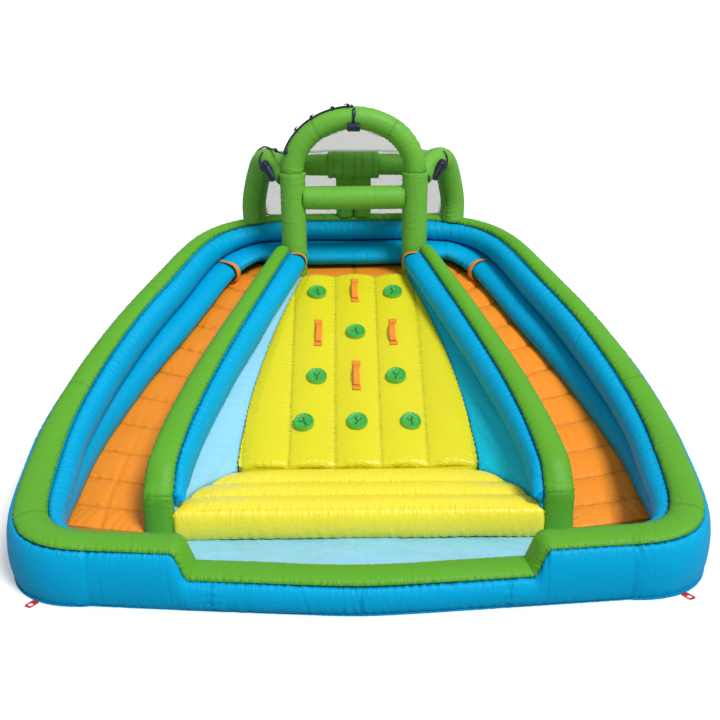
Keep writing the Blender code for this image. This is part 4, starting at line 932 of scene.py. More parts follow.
def lane_edges(side):
    """The lane's edges along the wall and along the divider, and how many steps down each point is."""
    plan = Plan(side)
    rows = slice(plan.lane_rows.start, plan.lane_rows.stop + int(LANE_LONGER / finish().mesh_step))
    outer = resample(plan.at[rows] - plan.out[rows] * 0.002, finish().mesh_step)
    step = np.linspace(0, 1, len(outer)) * LANE_STEPS
    divider = divider_line(side)
    turn = np.array([(DECK_HALF + 0.001, DECK_FRONT + 0.010), DIVIDER_START]) * (side, 1)
    first = turn[0] + (turn[1] - turn[0]) * np.clip(step / 2, 0, 1)[:, None]
    reach = np.clip((step - 2) / 12, 0, 1)
    inner = points_of(*(np.interp(reach, np.linspace(0, 1, len(divider)), k) for k in divider.T))
    return outer, np.where(step[:, None] < 2, first, inner), step


def build_lane(side):
    """The quilted bed between the wall and the divider."""
    word = side_word(side)
    seed = 100 if side < 0 else 130
    outer, inner, step = lane_edges(side)
    base = lane_top(np.linspace(0, 1, len(step)))
    across = np.linspace(0, 1, 45)
    edge = 1 - np.abs(2 * across - 1) ** 5
    seams = np.array([0, *LANE_SEAMS, LANE_STEPS])
    cell = np.clip(np.searchsorted(seams, step, side="right") - 1, 0, len(seams) - 2)
    local = (step - seams[cell]) / (seams[cell + 1] - seams[cell])
    crown = LANE_QUILT * np.sin(np.pi * local) ** 0.55
    flat = outer[:, None, :] + (inner - outer)[:, None, :] * across[None, :, None]
    height = base[:, None] + crown[:, None] * edge
    top = np.concatenate((flat, height[..., None]), axis=2)
    bottom = np.maximum(base - LANE_BED, FLOOR_TOP)
    under = [points_of(*(outer + (inner - outer) * column).T, bottom) for column in (1, 0.5, 0)]
    lane = Skin(np.concatenate((top, np.stack(under, axis=1)), axis=1))
    lane.swell(0.004, 0.35, seed)
    for number, place in enumerate(np.interp(LANE_SEAMS, step, lane.along)):
        lane.cross_seam(place, 0.004, 1.0, 0.07, 0.10, seed + number, 0.010)
    lane.seams((0, len(across) - 1), 0.002, 1.6, 0.06, 0.06, seed + 30)
    # lengthwise crease and bunched folds towards the pool
    lower = smooth((step - 9) / 2)[:, None]
    gap = lane.off_column(20)
    lane.push -= 0.007 * lower * np.exp(-(gap / 0.02) ** 2)
    bunch = smooth((step - 12.4) / 1.6)[:, None]
    lane.push += 0.005 * bunch * ripple(lane.around[:, :-1] + 0.6 * lane.along[:, None], 0.075, seed + 40)
    cover(lane, "lane_cloth_" + word, "orange_cloth", "slide_lane_" + word, 0.85)


def build_platform():
    low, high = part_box("platform")
    step = finish().mesh_step
    y = np.arange(low.y, high.y, step)
    x = np.linspace(-1, 1, 41) * high.x
    rows = []
    for here in y:
        rise = 0.012 * (1 - abs(2 * (here - low.y) / (high.y - low.y) - 1) ** 6)
        top = [(c, here, DECK_TOP + rise * (1 - abs(c / high.x) ** 8) - 0.004) for c in x]
        rows.append(top + [(c, here, low.z) for c in (high.x, 0, -high.x)])
    deck = Skin(rows)
    deck.swell(0.004, 0.3, 160)
    deck.cross_seam(0, 0.002, 1.2, 0.05, 0.06, 161)
    deck.seam(20, 0.004, 1.0, 0.05, 0.06, 162)
    cover(deck, "platform_cloth", "orange_cloth", "platform", 0.9)


class SLIDE_OT_lanes(bpy.types.Operator):
    """Quilt the two lanes and the platform"""

    bl_idname = "slide.lanes"
    bl_label = "Lanes and platform"

    def execute(self, context):
        for side in (-1, 1):
            build_lane(side)
        build_platform()
        return {"FINISHED"}


# Dividers


def edge_line(share):
    """Half width, depth place and height of the yellow chambers' edge at shares of a divider's length."""
    wall = np.clip(share / CLIMB_SHARE, 0, 1)
    flare = 1 - (1 - wall) ** (1 / CLIMB_FLARE)
    front_half = DIVIDER_NOSE[0] - DIVIDER_WIDTHS[1] - PAD_SIDE
    pad = np.clip((share - CLIMB_SHARE) / (1 - CLIMB_SHARE), 0, 1)
    half = blend(*CLIMB_HALVES, flare) + (front_half - CLIMB_HALVES[1]) * (1 - (1 - pad) ** 2)
    y = blend(DECK_FRONT, CLIMB_FOOT_Y, wall) + (DIVIDER_NOSE[1] - CLIMB_FOOT_Y) * pad
    top = blend(CLIMB_TOP, CLIMB_FOOT_TOP, wall) + CLIMB_BOW * np.sin(np.pi * wall)
    return half, y, np.where(share > CLIMB_SHARE, PAD_TOP, top)


class Divider:
    """Fine stations of one divider: its faces, the way inwards, its widths, its tops and the yellow edge."""

    def __init__(self, side):
        self.side, self.word = side, side_word(side)
        self.seed = 200 if side < 0 else 240
        count = int(round(2.9 / finish().mesh_step))
        self.at = divider_line(side, count)
        self.share = np.linspace(0, 1, count + 1)
        ahead = directions(self.at)
        square = smooth(1 - np.minimum(self.share, 1 - self.share) / 0.06)[:, None]
        inward = -side * leftwards(ahead) * (1 - square) + np.array((-side, 0.0)) * square
        self.inward = inward / np.linalg.norm(inward, axis=1)[:, None]
        self.width = blend(*DIVIDER_WIDTHS, self.share)
        self.top = blend(*DIVIDER_TOPS, self.share) - NOSE_DROP * smooth((self.share - 0.90) / 0.10) ** 2
        self.face = self.at + self.inward * self.width[:, None]
        half, edge_y, self.edge_top = edge_line(self.share)
        self.edge = points_of(side * half, edge_y)
        room = self.top - self.edge_top - CLIMB_CROWN - ROLL_CLEARANCE
        self.roll_foot = self.top - np.minimum(DIVIDER_ROLL_HEIGHT, room)


def nose_path(divider):
    """The cap's centreline along the top and down the nose, and the sideways direction at each point."""
    middle = divider.at + divider.inward * divider.width[:, None] / 2
    top = points_of(*middle.T, divider.top)
    bend = 0.05
    kept = top[lengths_along(top)[-1] - lengths_along(top) > bend]
    tip = top[-1]
    corner = bezier([kept[-1], tip, tip, tip - (0, 0, bend)], np.linspace(0, 1, 14))[1:]
    drop = tip[2] - bend - FLOOR_TOP - 0.004
    fall = np.array([tip - (0, 0, bend + drop * t) for t in np.linspace(0, 1, 16)[1:]])
    path = resample(np.vstack((kept, corner, fall)), finish().mesh_step)
    sideways = [np.interp(path[:, 1], top[::-1, 1], inward[::-1]) for inward in divider.inward.T]
    return path, points_of(*sideways, 0.0)


def build_slab(divider):
    sections = []
    for top, width in zip(divider.top, divider.width):
        up = [(0.001, z) for z in np.linspace(FLOOR_TOP + 0.002, top - 0.006, 26)]
        over = [(x, top - 0.002) for x in np.linspace(0.008, width - 0.008, 7)]
        down = [(width - 0.001, z) for z in np.linspace(top - 0.006, FLOOR_TOP + 0.002, 26)]
        sections.append(up + over + down)
    slab = Skin(raised(divider.at, divider.inward, sections))
    slab.swell(0.004, 0.5, divider.seed)
    slab.seam(25, 0.002, 1.5, 0.05, 0.06, divider.seed + 1)
    slab.seam(33, 0.002, 1.0, 0.04, 0.06, divider.seed + 2)
    cover(slab, "divider_cloth_" + divider.word, "blue_cloth", "divider_" + divider.word, 0.9)


def build_divider_cap(divider):
    path, sideways = nose_path(divider)
    ahead = directions(path)
    up = np.cross(ahead, sideways) * -divider.side
    up /= np.linalg.norm(up, axis=1)[:, None]
    reached = lengths_along(path)
    width = np.interp(reached / reached[-1], (0, 0.87, 1), (*DIVIDER_WIDTHS, DIVIDER_WIDTHS[1]))
    rows = []
    for here, over, rise, wide in zip(path, sideways, up, width):
        outline = np.array(cap_outline(GAP, wide))
        rows.append(here + over * (outline[:, :1] - wide / 2) + rise * outline[:, 1:])
    cap = Skin(rows)
    cap.swell(0.003, 0.3, divider.seed + 3)
    cap.seams(CAP_EDGES, 0.002, 1.1, 0.035, 0.05, divider.seed + 4)
    nose = cap.along[-1] - (DIVIDER_TOPS[1] - NOSE_DROP)
    cap.cross_seam(nose, 0.004, 1.0, 0.035, 0.05, divider.seed + 6, 0.008)
    cover(cap, "divider_cap_cloth_" + divider.word, "green_cloth", "divider_cap_" + divider.word, 0.9)


def build_divider_roll(divider):
    reach = blend(*DIVIDER_ROLL_REACHES, divider.share)
    limits = zip(divider.roll_foot, divider.top - 0.002, reach)
    sections = [roll_outline(low, high, wide, side=1) for low, high, wide in limits]
    roll = Skin(raised(divider.face, divider.inward, sections))
    roll.swell(0.004, 0.3, divider.seed + 7)
    roll.buckles(0.12, 0.0035, divider.seed + 20, 0.09)
    roll.seam(ROLL_LOW_SEAM, 0.003, 1.2, 0.07, 0.05, divider.seed + 8)
    roll.seam(ROLL_HIGH_SEAM, 0.003, 1.3, 0.07, 0.05, divider.seed + 9)
    roll.round_ends(0.03)
    cover(roll, "divider_roll_cloth_" + divider.word, "blue_cloth", "divider_roll_" + divider.word, 0.9)


def build_gusset(divider):
    """The loose sloping panel from under the roll to the edge of the yellow chambers."""
    rows = []
    across = np.linspace(0, 1, 25)
    for near, edge, edge_top, foot, share in zip(
            divider.face, divider.edge, divider.edge_top, divider.roll_foot, divider.share):
        away = edge - near
        lip = edge_top - SKIN
        floor = FLOOR_TOP if share > CLIMB_SHARE else max(edge_top - CLIMB_BED / 2, FLOOR_TOP)
        high = min(foot - GAP, edge_top + np.linalg.norm(away))
        over = [
            (*(near + away * (0.002 + 0.995 * t)), blend(high, lip, t) + SKIN * 0.6 * math.sin(math.pi * t))
            for t in across]
        under = [(*(near + away * t), floor + 0.003) for t in (0.995, 0.5, 0.005)]
        rows.append(over + under)
    gusset = Skin(rows)
    shape = np.zeros(gusset.push.shape[1])
    shape[:25] = np.sin(np.pi * across) ** 0.7
    along, around = gusset.along[:, None], gusset.around[:, :-1]
    gusset.push += 0.007 * shape * ripple(around + 0.18 * along, 0.17, divider.seed + 12)
    gusset.push += 0.003 * shape * ripple(along + 0.5 * around, 0.11, divider.seed + 13)
    gusset.seams((0, 24), 0.002, 1.0, 0.04, 0.05, divider.seed + 10)
    # the two gussets are one fabric: the left one is painted paler as lit, the right one a mid blue as in
    # shade
    cloth = "lit_gusset_cloth" if divider.side < 0 else "shaded_gusset_cloth"
    cover(gusset, "gusset_cloth_" + divider.word, cloth, "divider_gusset_" + divider.word, 0.8)


class SLIDE_OT_dividers(bpy.types.Operator):
    """Sew the dividers with their caps, rolls and gussets"""

    bl_idname = "slide.dividers"
    bl_label = "Dividers"

    def execute(self, context):
        for side in (-1, 1):
            divider = Divider(side)
            build_slab(divider)
            build_divider_cap(divider)
            build_divider_roll(divider)
            build_gusset(divider)
        return {"FINISHED"}


# Climbing wall and landing pad


def wall_edge(share):
    """The edge at a share of the climbing wall, which ends just short of the step down to the pad."""
    return edge_line(share * CLIMB_SHARE * 0.9999)


def climb_height(x, share):
    """Height of the yellow wall's cloth: a crown over each channel, sunk at the edges."""
    half, _, top = wall_edge(share)
    crown = CLIMB_CROWN * np.abs(np.cos(np.pi * x / SEAM_PITCH)) ** 0.8
    edge = np.clip((half - np.abs(x)) * 4 / SEAM_PITCH, 0, 1)
    return top + crown * np.sqrt(edge)


def build_climbing_wall():
    step = finish().mesh_step * 0.8
    across = np.linspace(-1, 1, 221)
    rows = []
    for share in np.linspace(0, 1, int(2.15 / step) + 1):
        half, y, top = wall_edge(share)
        x = across * (half - 0.003)
        bottom = max(top - CLIMB_BED, FLOOR_TOP + 0.002)
        under = [(c * half, y, bottom) for c in np.linspace(0.99, -0.99, 9)]
        rows.append(np.vstack((points_of(x, y, climb_height(x, share)), under)))
    wall = Skin(rows)
    x = wall.rows[..., 0]
    seen = np.arange(x.shape[1]) < len(across)
    for number, place in enumerate(CLIMB_SEAMS):
        gap = np.where(seen, np.abs(x - place), 9)
        wall.fold_beside(gap, wall.along[:, None], 0.6, 0.04, 0.036, 300 + number)
        wall.stitch(gap, 0.004, 0.010, dark=0.7)
    wall.swell(0.004, 0.35, 310)
    wall.round_ends(0.05)
    wall.cross_seam(0.0, 0.0, 1.2, 0.05, 0.06, 311)
    wall.cross_seam(wall.along[-1], 0.0, 0.5, 0.07, 0.06, 312)
    wall.seams((0, len(across) - 1), 0.002, 1.0, 0.04, 0.05, 313)
    # painted seam shade kept lighter on the yellow wall
    wall.crease *= 0.7
    cover(wall, "climbing_cloth", "yellow_cloth", "climbing_wall", 0.9)


def build_pad():
    deep = np.linspace(0, 1, 61)
    shares = CLIMB_SHARE + (1 - CLIMB_SHARE) * deep
    half, y, _ = edge_line(np.maximum(shares, CLIMB_SHARE + 1e-6))
    z = PAD_TOP + PAD_CROWN * np.abs(np.sin(np.pi * PAD_CHANNELS * deep)) ** 0.75
    half = half - 0.004 + 0.034 * deep ** 4
    turns = np.radians(np.linspace(90, -90, 25))[1:]
    middle, rise = (PAD_TOP + FLOOR_TOP) / 2, (PAD_TOP - FLOOR_TOP) / 2 - 0.004
    front = [(DIVIDER_NOSE[1] - PAD_BULGE * 1.15 * math.cos(a), middle + rise * math.sin(a)) for a in turns]
    loop_y = np.concatenate((y, [f[0] for f in front], [DIVIDER_NOSE[1] + 0.2, CLIMB_FOOT_Y - 0.02]))
    loop_z = np.concatenate((z, [f[1] for f in front], [FLOOR_TOP + 0.003] * 2))
    loop_half = np.concatenate((half, np.full(len(front) + 1, half[-1]), [half[0]]))
    across = np.linspace(-1, 1, 171)
    rows = []
    for c in across:
        sag = PAD_CROWN * abs(c) ** 6
        lift = np.where(loop_z > PAD_TOP - 0.001, sag, 0)
        rows.append(points_of(c * loop_half, loop_y, loop_z - lift))
    pad = Skin(rows)
    pad.swell(0.006, 0.4, 320)
    for number, column in enumerate((20, 40, 60)):
        pad.seam(column, 0.003 if column < 60 else 0.001, 0.9, 0.06, 0.085, 321 + number)
    pad.seam(84, 0.002, 1.6, 0.05, 0.07, 326)
    # painted seam shade kept lighter on the pad
    pad.crease *= 0.45
    pad.round_ends(0.035)
    cover(pad, "landing_pad_cloth", "lit_pad_cloth", "landing_pad", 0.9)


class SLIDE_OT_climb(bpy.types.Operator):
    """Quilt the climbing wall and its landing pad"""

    bl_idname = "slide.climb"
    bl_label = "Climbing wall and pad"

    def execute(self, context):
        build_climbing_wall()
        build_pad()
        return {"FINISHED"}


# Arches


def arch_line():
    angles = np.linspace(0, np.pi, 181)
    high = POST_TOP + ARCH_RISE * np.sin(angles)
    return resample(points_of(-POST_X * np.cos(angles), POST_Y, high), finish().mesh_step)


def side_arch_line(side):
    """Centreline from inside the post to the rear cap."""
    plan = Plan(side)
    station = np.argmin(np.abs(lengths_along(plan.at) - DECK_HALF - plan.lane_length / LANE_STEPS))
    foot = plan.at[station] + plan.out[station] * strip_width(plan.share[station]) / 2
    foot = np.array((*foot, plan.top[station] + 0.008))
    start = np.array((side * POST_X, POST_Y, POST_TOP - SIDE_ARCH_RADIUS))
    route = [start]
    for share, rise in SIDE_ARCH_SHARES:
        place = start + (foot - start) * share
        place[2] = start[2] + rise * SIDE_ARCH_RISE
        route.append(place)
    route.append(np.array((foot[0], foot[1], (foot[2] + start[2]) / 2)))
    route.append(foot)
    return resample(smooth_line(route), finish().mesh_step)


def tube_skin(line, radius, seed, hint=(0, 1, 0), seams=(12, 36), folds=1.2, pitch=0.045, ends=0.004):
    """An inflated tube with a seam on two sides."""
    tube = Skin(tube_rows(line, radius, 48, hint))
    tube.swell(0.004, 0.22, seed)
    tube.buckles(0.055, 0.0028, seed + 20, 0.06)
    tube.seams(seams, 0.003, folds, 0.035, pitch, seed + 1, 0.009)
    tube.cross_seams((0, 1), 0.002, 0.8 * folds, 0.05, 0.045, seed + 5)
    tube.round_ends(ends)
    return tube


def build_posts():
    for side in (-1, 1):
        word = side_word(side)
        line = straight((side * POST_X, POST_Y, DECK_TOP + 0.002), (side * POST_X, POST_Y, POST_TOP))
        seed = 400 if side < 0 else 410
        post = tube_skin(line, POST_RADIUS - 0.002, seed, folds=1.5, pitch=0.05, ends=0.010)
        collar = np.exp(-((post.along[-1] - post.along) / 0.03) ** 2)[:, None]
        turns = np.linspace(0, 2 * np.pi, post.push.shape[1], endpoint=False)
        ears = np.clip(np.abs(np.cos(turns - np.pi / 2)) - 0.82, 0, 1) / 0.18
        post.push += 0.012 * collar * ears
        cover(post, "post_cloth_" + word, "lit_tube_cloth", "front_post_" + word, 0.95)


def build_tubes():
    arch = tube_skin(arch_line(), ARCH_RADIUS, 420)
    arch.cross_seams((0.28, 0.72), 0.003, 0.6, 0.04, 0.045, 425, 0.008)
    cover(arch, "front_arch_cloth", "lit_tube_cloth", "front_arch", 0.95)

    inside = POST_X - POST_RADIUS * 0.80
    line = straight((-inside, POST_Y, CROSSBAR_Z), (inside, POST_Y, CROSSBAR_Z))
    bar = tube_skin(line, CROSSBAR_RADIUS, 430, folds=0.8)
    cover(bar, "crossbar_cloth", "lit_tube_cloth", "crossbar", 0.95)

    for side in (-1, 1):
        word = side_word(side)
        line = side_arch_line(side)
        clear = line[np.linalg.norm(line[:, :2] - (side * POST_X, POST_Y), axis=1) > POST_RADIUS * 0.7]
        tube = tube_skin(clear, SIDE_ARCH_RADIUS, 440 if side < 0 else 450, (0, 0, 1), (0, 24))
        cover(tube, "side_arch_cloth_" + word, "lit_tube_cloth", "side_arch_" + word, 0.95)


def beam_place():
    """The beam's depth place and height, and its half length."""
    low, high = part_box("rear_beam")
    return (low.y + high.y) / 2, (low.z + high.z) / 2, high.x


def squared(cosine, sine):
    """How much further a boxy round reaches than a circle."""
    return np.minimum((np.abs(cosine) ** 4 + np.abs(sine) ** 4) ** -0.25, 1.12)


def build_rear():
    y, z, half = beam_place()
    beam = tube_skin(straight((-half, y, z), (half, y, z)), BEAM_RADIUS - 0.002, 460)
    cover(beam, "rear_beam_cloth", "lit_tube_cloth", "rear_beam", 0.95)

    # sleeve round the beam, boxy in front, and the ribbed post under it
    turns = np.linspace(0, 2 * np.pi, 72, endpoint=False)
    reach = BEAM_RADIUS + 0.022
    square = squared(np.cos(turns), np.sin(turns))
    sleeve = Skin([
        points_of(x, y + reach * 0.97 * np.cos(turns) * square, z + reach * 0.97 * np.sin(turns) * square)
        for x in np.linspace(-SADDLE_HALF + 0.004, SADDLE_HALF - 0.004, 60)])
    sleeve.cross_seams((0.11, 0.29, 0.52, 0.66, 0.88), 0.004, 1.2, 0.05, 0.09, 470)
    sleeve.swell(0.006, 0.14, 476)
    sleeve.round_ends(0.02)
    saddle = sleeve.build("saddle_cloth", material("lit_tube_cloth"))

    half_post = 0.155
    foot_y = RING_Y + CAP_REAR_WIDTH / 2
    foot_z = REAR_TOP + CAP_CROWN - 0.012
    across = np.linspace(-1, 1, 49)
    rows = []
    for share in np.linspace(0, 1, 44):
        here_z = blend(foot_z, z - reach * 0.7, share)
        here_y = blend(foot_y, y + 0.01, share)
        dome = np.sqrt(np.clip((0.74 - share) / 0.16, 0, 1))
        rib = np.abs(np.sin(np.pi * (across + 1)))
        depth = 0.018 + 0.060 * np.sqrt(rib) * dome + 0.006 * (1 - dome) * (1 - across ** 4)
        front = points_of(across * half_post, here_y - depth, here_z)
        back = [(c * half_post, here_y + 0.04, here_z) for c in (1, 0.5, 0, -0.5, -1)]
        rows.append(np.vstack((front, back)))
    post = Skin(rows)
    post.seam(24, 0.004, 1.0, 0.03, 0.035, 480)
    post.seams((0, 48), 0.002, 1.0, 0.03, 0.035, 481)
    cloth = post.build("rear_post_cloth", material("lit_tube_cloth"))
    dress(join("rear_post_and_saddle", [saddle, cloth]), ["rear_post"])


def join(name, parts):
    """One object of several."""
    whole = parts[0]
    with bpy.context.temp_override(
            active_object=whole, object=whole, selected_objects=parts, selected_editable_objects=parts):
        bpy.ops.object.join()
    whole.name = whole.data.name = name
    return whole


class SLIDE_OT_arches(bpy.types.Operator):
    """Inflate the posts, arches, bars and the rear post"""

    bl_idname = "slide.arches"
    bl_label = "Posts and arches"

    def execute(self, context):
        build_posts()
        build_tubes()
        build_rear()
        return {"FINISHED"}


# Fittings


class Hinge:
    """Where a moving fitting is held: X along its hinge, Z towards its middle."""

    def __init__(self, name):
        joint = next(item for item in frame["joints"] if item["child"] == name + "_body")
        points = np.array([v.co for v in frame["nodes"][name].data.vertices])
        self.at = np.array(joint["pos_m"])
        self.x = np.array(joint["axis"])
        self.z = square_off(points.mean(axis=0) - self.at, self.x)
        local = (points - self.at) @ self.axes().T
        self.low, self.high = local.min(axis=0), local.max(axis=0)
        if self.high[0] < -self.low[0] * 0.5:
            self.at = self.at + self.x * self.low[0]
            self.high[0], self.low[0] = -self.low[0], 0

    def axes(self):
        return np.stack((self.x, np.cross(self.z, self.x), self.z))

    def place(self, points):
        return self.at + np.asarray(points) @ self.axes()

    def bend(self, low, high):
        """Points at two heights over the hinge, at a grip's sewn ends and at its free middle."""
        return tuple(self.at + self.z * low), tuple(self.at + self.z * high)


def band_rows(path, widths, thickness):
    """Loops of a flat band along a path of x and z; it is wide along y."""
    path = np.asarray(path, float)
    ahead = directions(path)
    normal = leftwards(ahead)
    across = np.linspace(-1, 1, 11)
    edge = thickness / 2 * (1 - across**8)
    shift = np.concatenate((edge, -edge[::-1]))
    spread = np.concatenate((across, across[::-1]))
    rows = []
    for here, off, width in zip(path, normal, widths):
        flat = here + shift[:, None] * off
        rows.append(points_of(flat[:, 0], spread * width / 2, flat[:, 1]))
    return np.array(rows)


def dress_grip(skin, name, hinge, rise):
    """A webbing grip, sewn down at its feet, built in place; it is not attached to its hinge's body."""
    web = skin.build(name + "_web", material("orange_web"))
    dress(web, [name], body=name + "_body", bend=hinge.bend(0.15 * rise, 0.9 * rise))


def stitched(skin, rows, patches, width):
    """Mark boxes of stitching on the parts of a band between pairs of x."""
    x, y = rows[..., 0], np.abs(rows[..., 1])
    for low, high in patches:
        inside = (x > low) & (x < high)
        lines = np.exp(-((x - low) / 0.0018) ** 2) + np.exp(-((x - high) / 0.0018) ** 2)
        sides = np.exp(-((y - (width / 2 - 0.005)) / 0.0015) ** 2) * inside
        skin.crease = np.maximum(skin.crease, 0.55 * np.clip(lines + sides, 0, 1))


def build_climb_strap(name, lean):
    """A webbing grip: a flat stitched patch, the band standing off the wall, and a fold at its foot."""
    hinge = Hinge(name)
    length, rise = hinge.high[0], hinge.high[2] - 0.002
    shares = (
        (0, 0.03), (0.07, 0.03), (0.15, 0.04), (0.22, 0.36), (0.33, 0.75), (0.48, 0.97), (0.62, 0.98),
        (0.74, 0.85), (0.82, 0.62), (0.865, 0.42), (0.862, 0.26), (0.835, 0.15), (0.84, 0.06), (0.90, 0.04),
        (0.95, 0.03), (1, 0.03))
    path = resample(smooth_line([(length * a, rise * b) for a, b in shares]), 0.0025)
    place = np.linspace(0, 1, len(path))
    patch = np.maximum(smooth((0.17 - place) / 0.03), smooth((place - 0.84) / 0.03))
    rows = band_rows(path, blend(0.048, 0.064, patch), 0.003)
    rows[..., 1] += lean * 0.010 * np.sin(np.pi * place)[:, None] ** 2
    rows[..., 2] += 0.0012 * patch[:, None]
    skin = Skin(hinge.place(rows))
    stitched(skin, rows, ((0.004, length * 0.14), (length * 0.90, length - 0.004)), 0.064)
    dress_grip(skin, name, hinge, rise)


def build_handle(name):
    """A webbing grip over a roll, sewn down at both feet."""
    hinge = Hinge(name)
    length, rise = hinge.high[0], hinge.high[2] - 0.002
    turn = np.linspace(0, np.pi, 90)
    path = resample(points_of(length * (1 - np.cos(turn)) / 2, rise * np.sin(turn) ** 0.5), 0.004)
    place = np.linspace(0, 1, len(path))
    foot = np.maximum(smooth((0.13 - place) / 0.04), smooth((place - 0.87) / 0.04))
    rows = band_rows(path, blend(0.048, 0.056, foot), 0.004)
    skin = Skin(hinge.place(rows))
    skin.swell(0.0015, 0.05, 530)
    for stitch in (0.12, 0.88):
        skin.crease = np.maximum(skin.crease, 0.55 * np.exp(-((place - stitch) / 0.008) ** 2)[:, None])
    dress_grip(skin, name, hinge, rise)


def wall_frame(x, share):
    """A point on the climbing wall and the wall's own axes there."""
    span = CLIMB_FOOT_Y - DECK_FRONT
    near = 0.02
    high, below = climb_height(x, share), climb_height(x, share + near)
    right, left = climb_height(x + near, share), climb_height(x - near, share)
    z = unit(np.array((-(right - left) / (2 * near), -(below - high) / (near * span), 1)))
    y = unit(np.cross(z, (1, 0, 0)))
    return np.array((x, DECK_FRONT + span * share, high)), np.stack((np.cross(y, z), y, z))


def build_hold(number, x, share):
    """A round grip with a rolled rim, its face drawn in to a pinched fork of folds."""
    at, axes = wall_frame(x, share)
    profile = (
        (0.93, -0.5), (1.0, 0.02), (1.01, 0.22), (1.0, 0.42), (0.96, 0.56), (0.90, 0.60), (0.83, 0.57),
        (0.76, 0.51), (0.66, 0.47), (0.55, 0.46), (0.42, 0.45), (0.30, 0.43), (0.18, 0.41), (0.07, 0.39),
        (0.02, 0.39))
    profile = resample(smooth_line([(HOLD_RADIUS * a, HOLD_HEIGHT * b) for a, b in profile], 6), count=56)
    turns = np.linspace(0, 2 * np.pi, HOLD_SIDES, endpoint=False)
    tilt = 0.5 * math.sin(2.4 * number)
    rows, depth = [], []
    for radius, height in profile:
        inside = smooth((0.70 * HOLD_RADIUS - radius) / (0.25 * HOLD_RADIUS)) * smooth(radius / 0.006)
        fork = sum(
            np.exp(-((np.angle(np.exp(1j * (turns - tilt - arm))) * radius / 0.0065) ** 2))
            for arm in FORK_ARMS)
        fork = np.clip(fork, 0, 1) * inside
        pucker = 0.0012 * np.sin(15 * turns + number) * smooth((radius - 0.02) / 0.03)
        z = height - 0.0065 * fork + (pucker if height > 0 else 0)
        rows.append(at + points_of(radius * np.cos(turns), radius * np.sin(turns), z) @ axes)
        depth.append(fork)
    hold = Skin(rows)
    # the fork's folds are darkened with painted shade
    hold.crease = np.array(depth) * 0.9
    reach = profile[:, :1] * np.ones(HOLD_SIDES)
    hold.near = np.clip((reach - 0.0765) / 0.002, 0, 1) * 0.7
    piece = hold.build("grip_%d" % number, material("grip_green"), sharp=70)
    dress(piece, ["climbing_hold_%d" % number])


class SLIDE_OT_grips(bpy.types.Operator):
    """Fit the holds, the straps and the handles"""

    bl_idname = "slide.grips"
    bl_label = "Holds and straps"

    def execute(self, context):
        holds = [(column, share) for share, columns in HOLD_ROWS for column in columns]
        for number, (column, share) in enumerate(holds, 1):
            build_hold(number, column * SEAM_PITCH, share)
        for number, lean in enumerate(STRAP_LEANS, 1):
            build_climb_strap("climbing_strap_%d" % number, lean)
        for word in ("left", "right"):
            build_handle("lane_handle_" + word)
            build_handle("platform_handle_" + word)
        return {"FINISHED"}


# Water line


def hose_route():
    """Along the crest of the front arch from its middle, then along the left side arch."""
    points = []
    for angle in np.linspace(90, 17, 20):
        a = math.radians(angle)
        along = unit(np.array((POST_X * math.sin(a), 0, ARCH_RISE * math.cos(a))))
        away = 0.93 * np.cross(along, (0, 1, 0)) - np.array((0, 0.36, 0))
        crest = np.array((-POST_X * math.cos(a), POST_Y, POST_TOP + ARCH_RISE * math.sin(a)))
        points.append(crest + away * (ARCH_RADIUS + HOSE_OFF))
    line = side_arch_line(-1)
    ahead = directions(line)
    for share in np.linspace(0.36, 0.8, 9):
        place = int(share * (len(line) - 1))
        away = square_off(np.array((-1.0, 1.0, 2.0)), ahead[place])
        points.append(line[place] + away * (SIDE_ARCH_RADIUS + HOSE_OFF))
    return resample(smooth_line(points, 12), 0.008)


def tube_piece(name, points, radii, made_of, sides=14, hint=(0, 1, 0)):
    return Skin(tube_rows(points, radii, sides, hint)).build(name, made_of)


def build_tie(number, here, way, rubber):
    """A tie knotted round the hose, with two loose tails."""
    side = square_off(np.array((0.0, 1.0, 0.0)), way)
    up = np.cross(way, side)
    up *= np.sign(up[2])
    turn = np.linspace(0, 2 * np.pi, 29)
    ring = here + 0.0105 * (np.outer(np.cos(turn), side) + np.outer(np.sin(turn), up))
    parts = [Skin(tube_rows(ring, 0.0042, 10, way)).build("tie", rubber, closed=True)]
    knot = here + up * 0.015 + np.outer(np.linspace(-0.011, 0.011, 11), way)
    round_off = 0.009 * np.sqrt(1 - np.linspace(-0.97, 0.97, 11) ** 2)
    parts.append(tube_piece("knot", knot, round_off, rubber))
    for sign in (-1, 1):
        bend = 0.7 + 0.3 * math.sin(5 * number + sign)
        tail = smooth_line([
            here + up * 0.014, here + up * 0.022 * bend + way * sign * 0.014 - side * 0.006,
            here + up * 0.017 + way * sign * 0.030 * bend - side * 0.016], 8)
        parts.append(tube_piece("tail", tail, 0.0036, rubber, sides=8))
    return parts


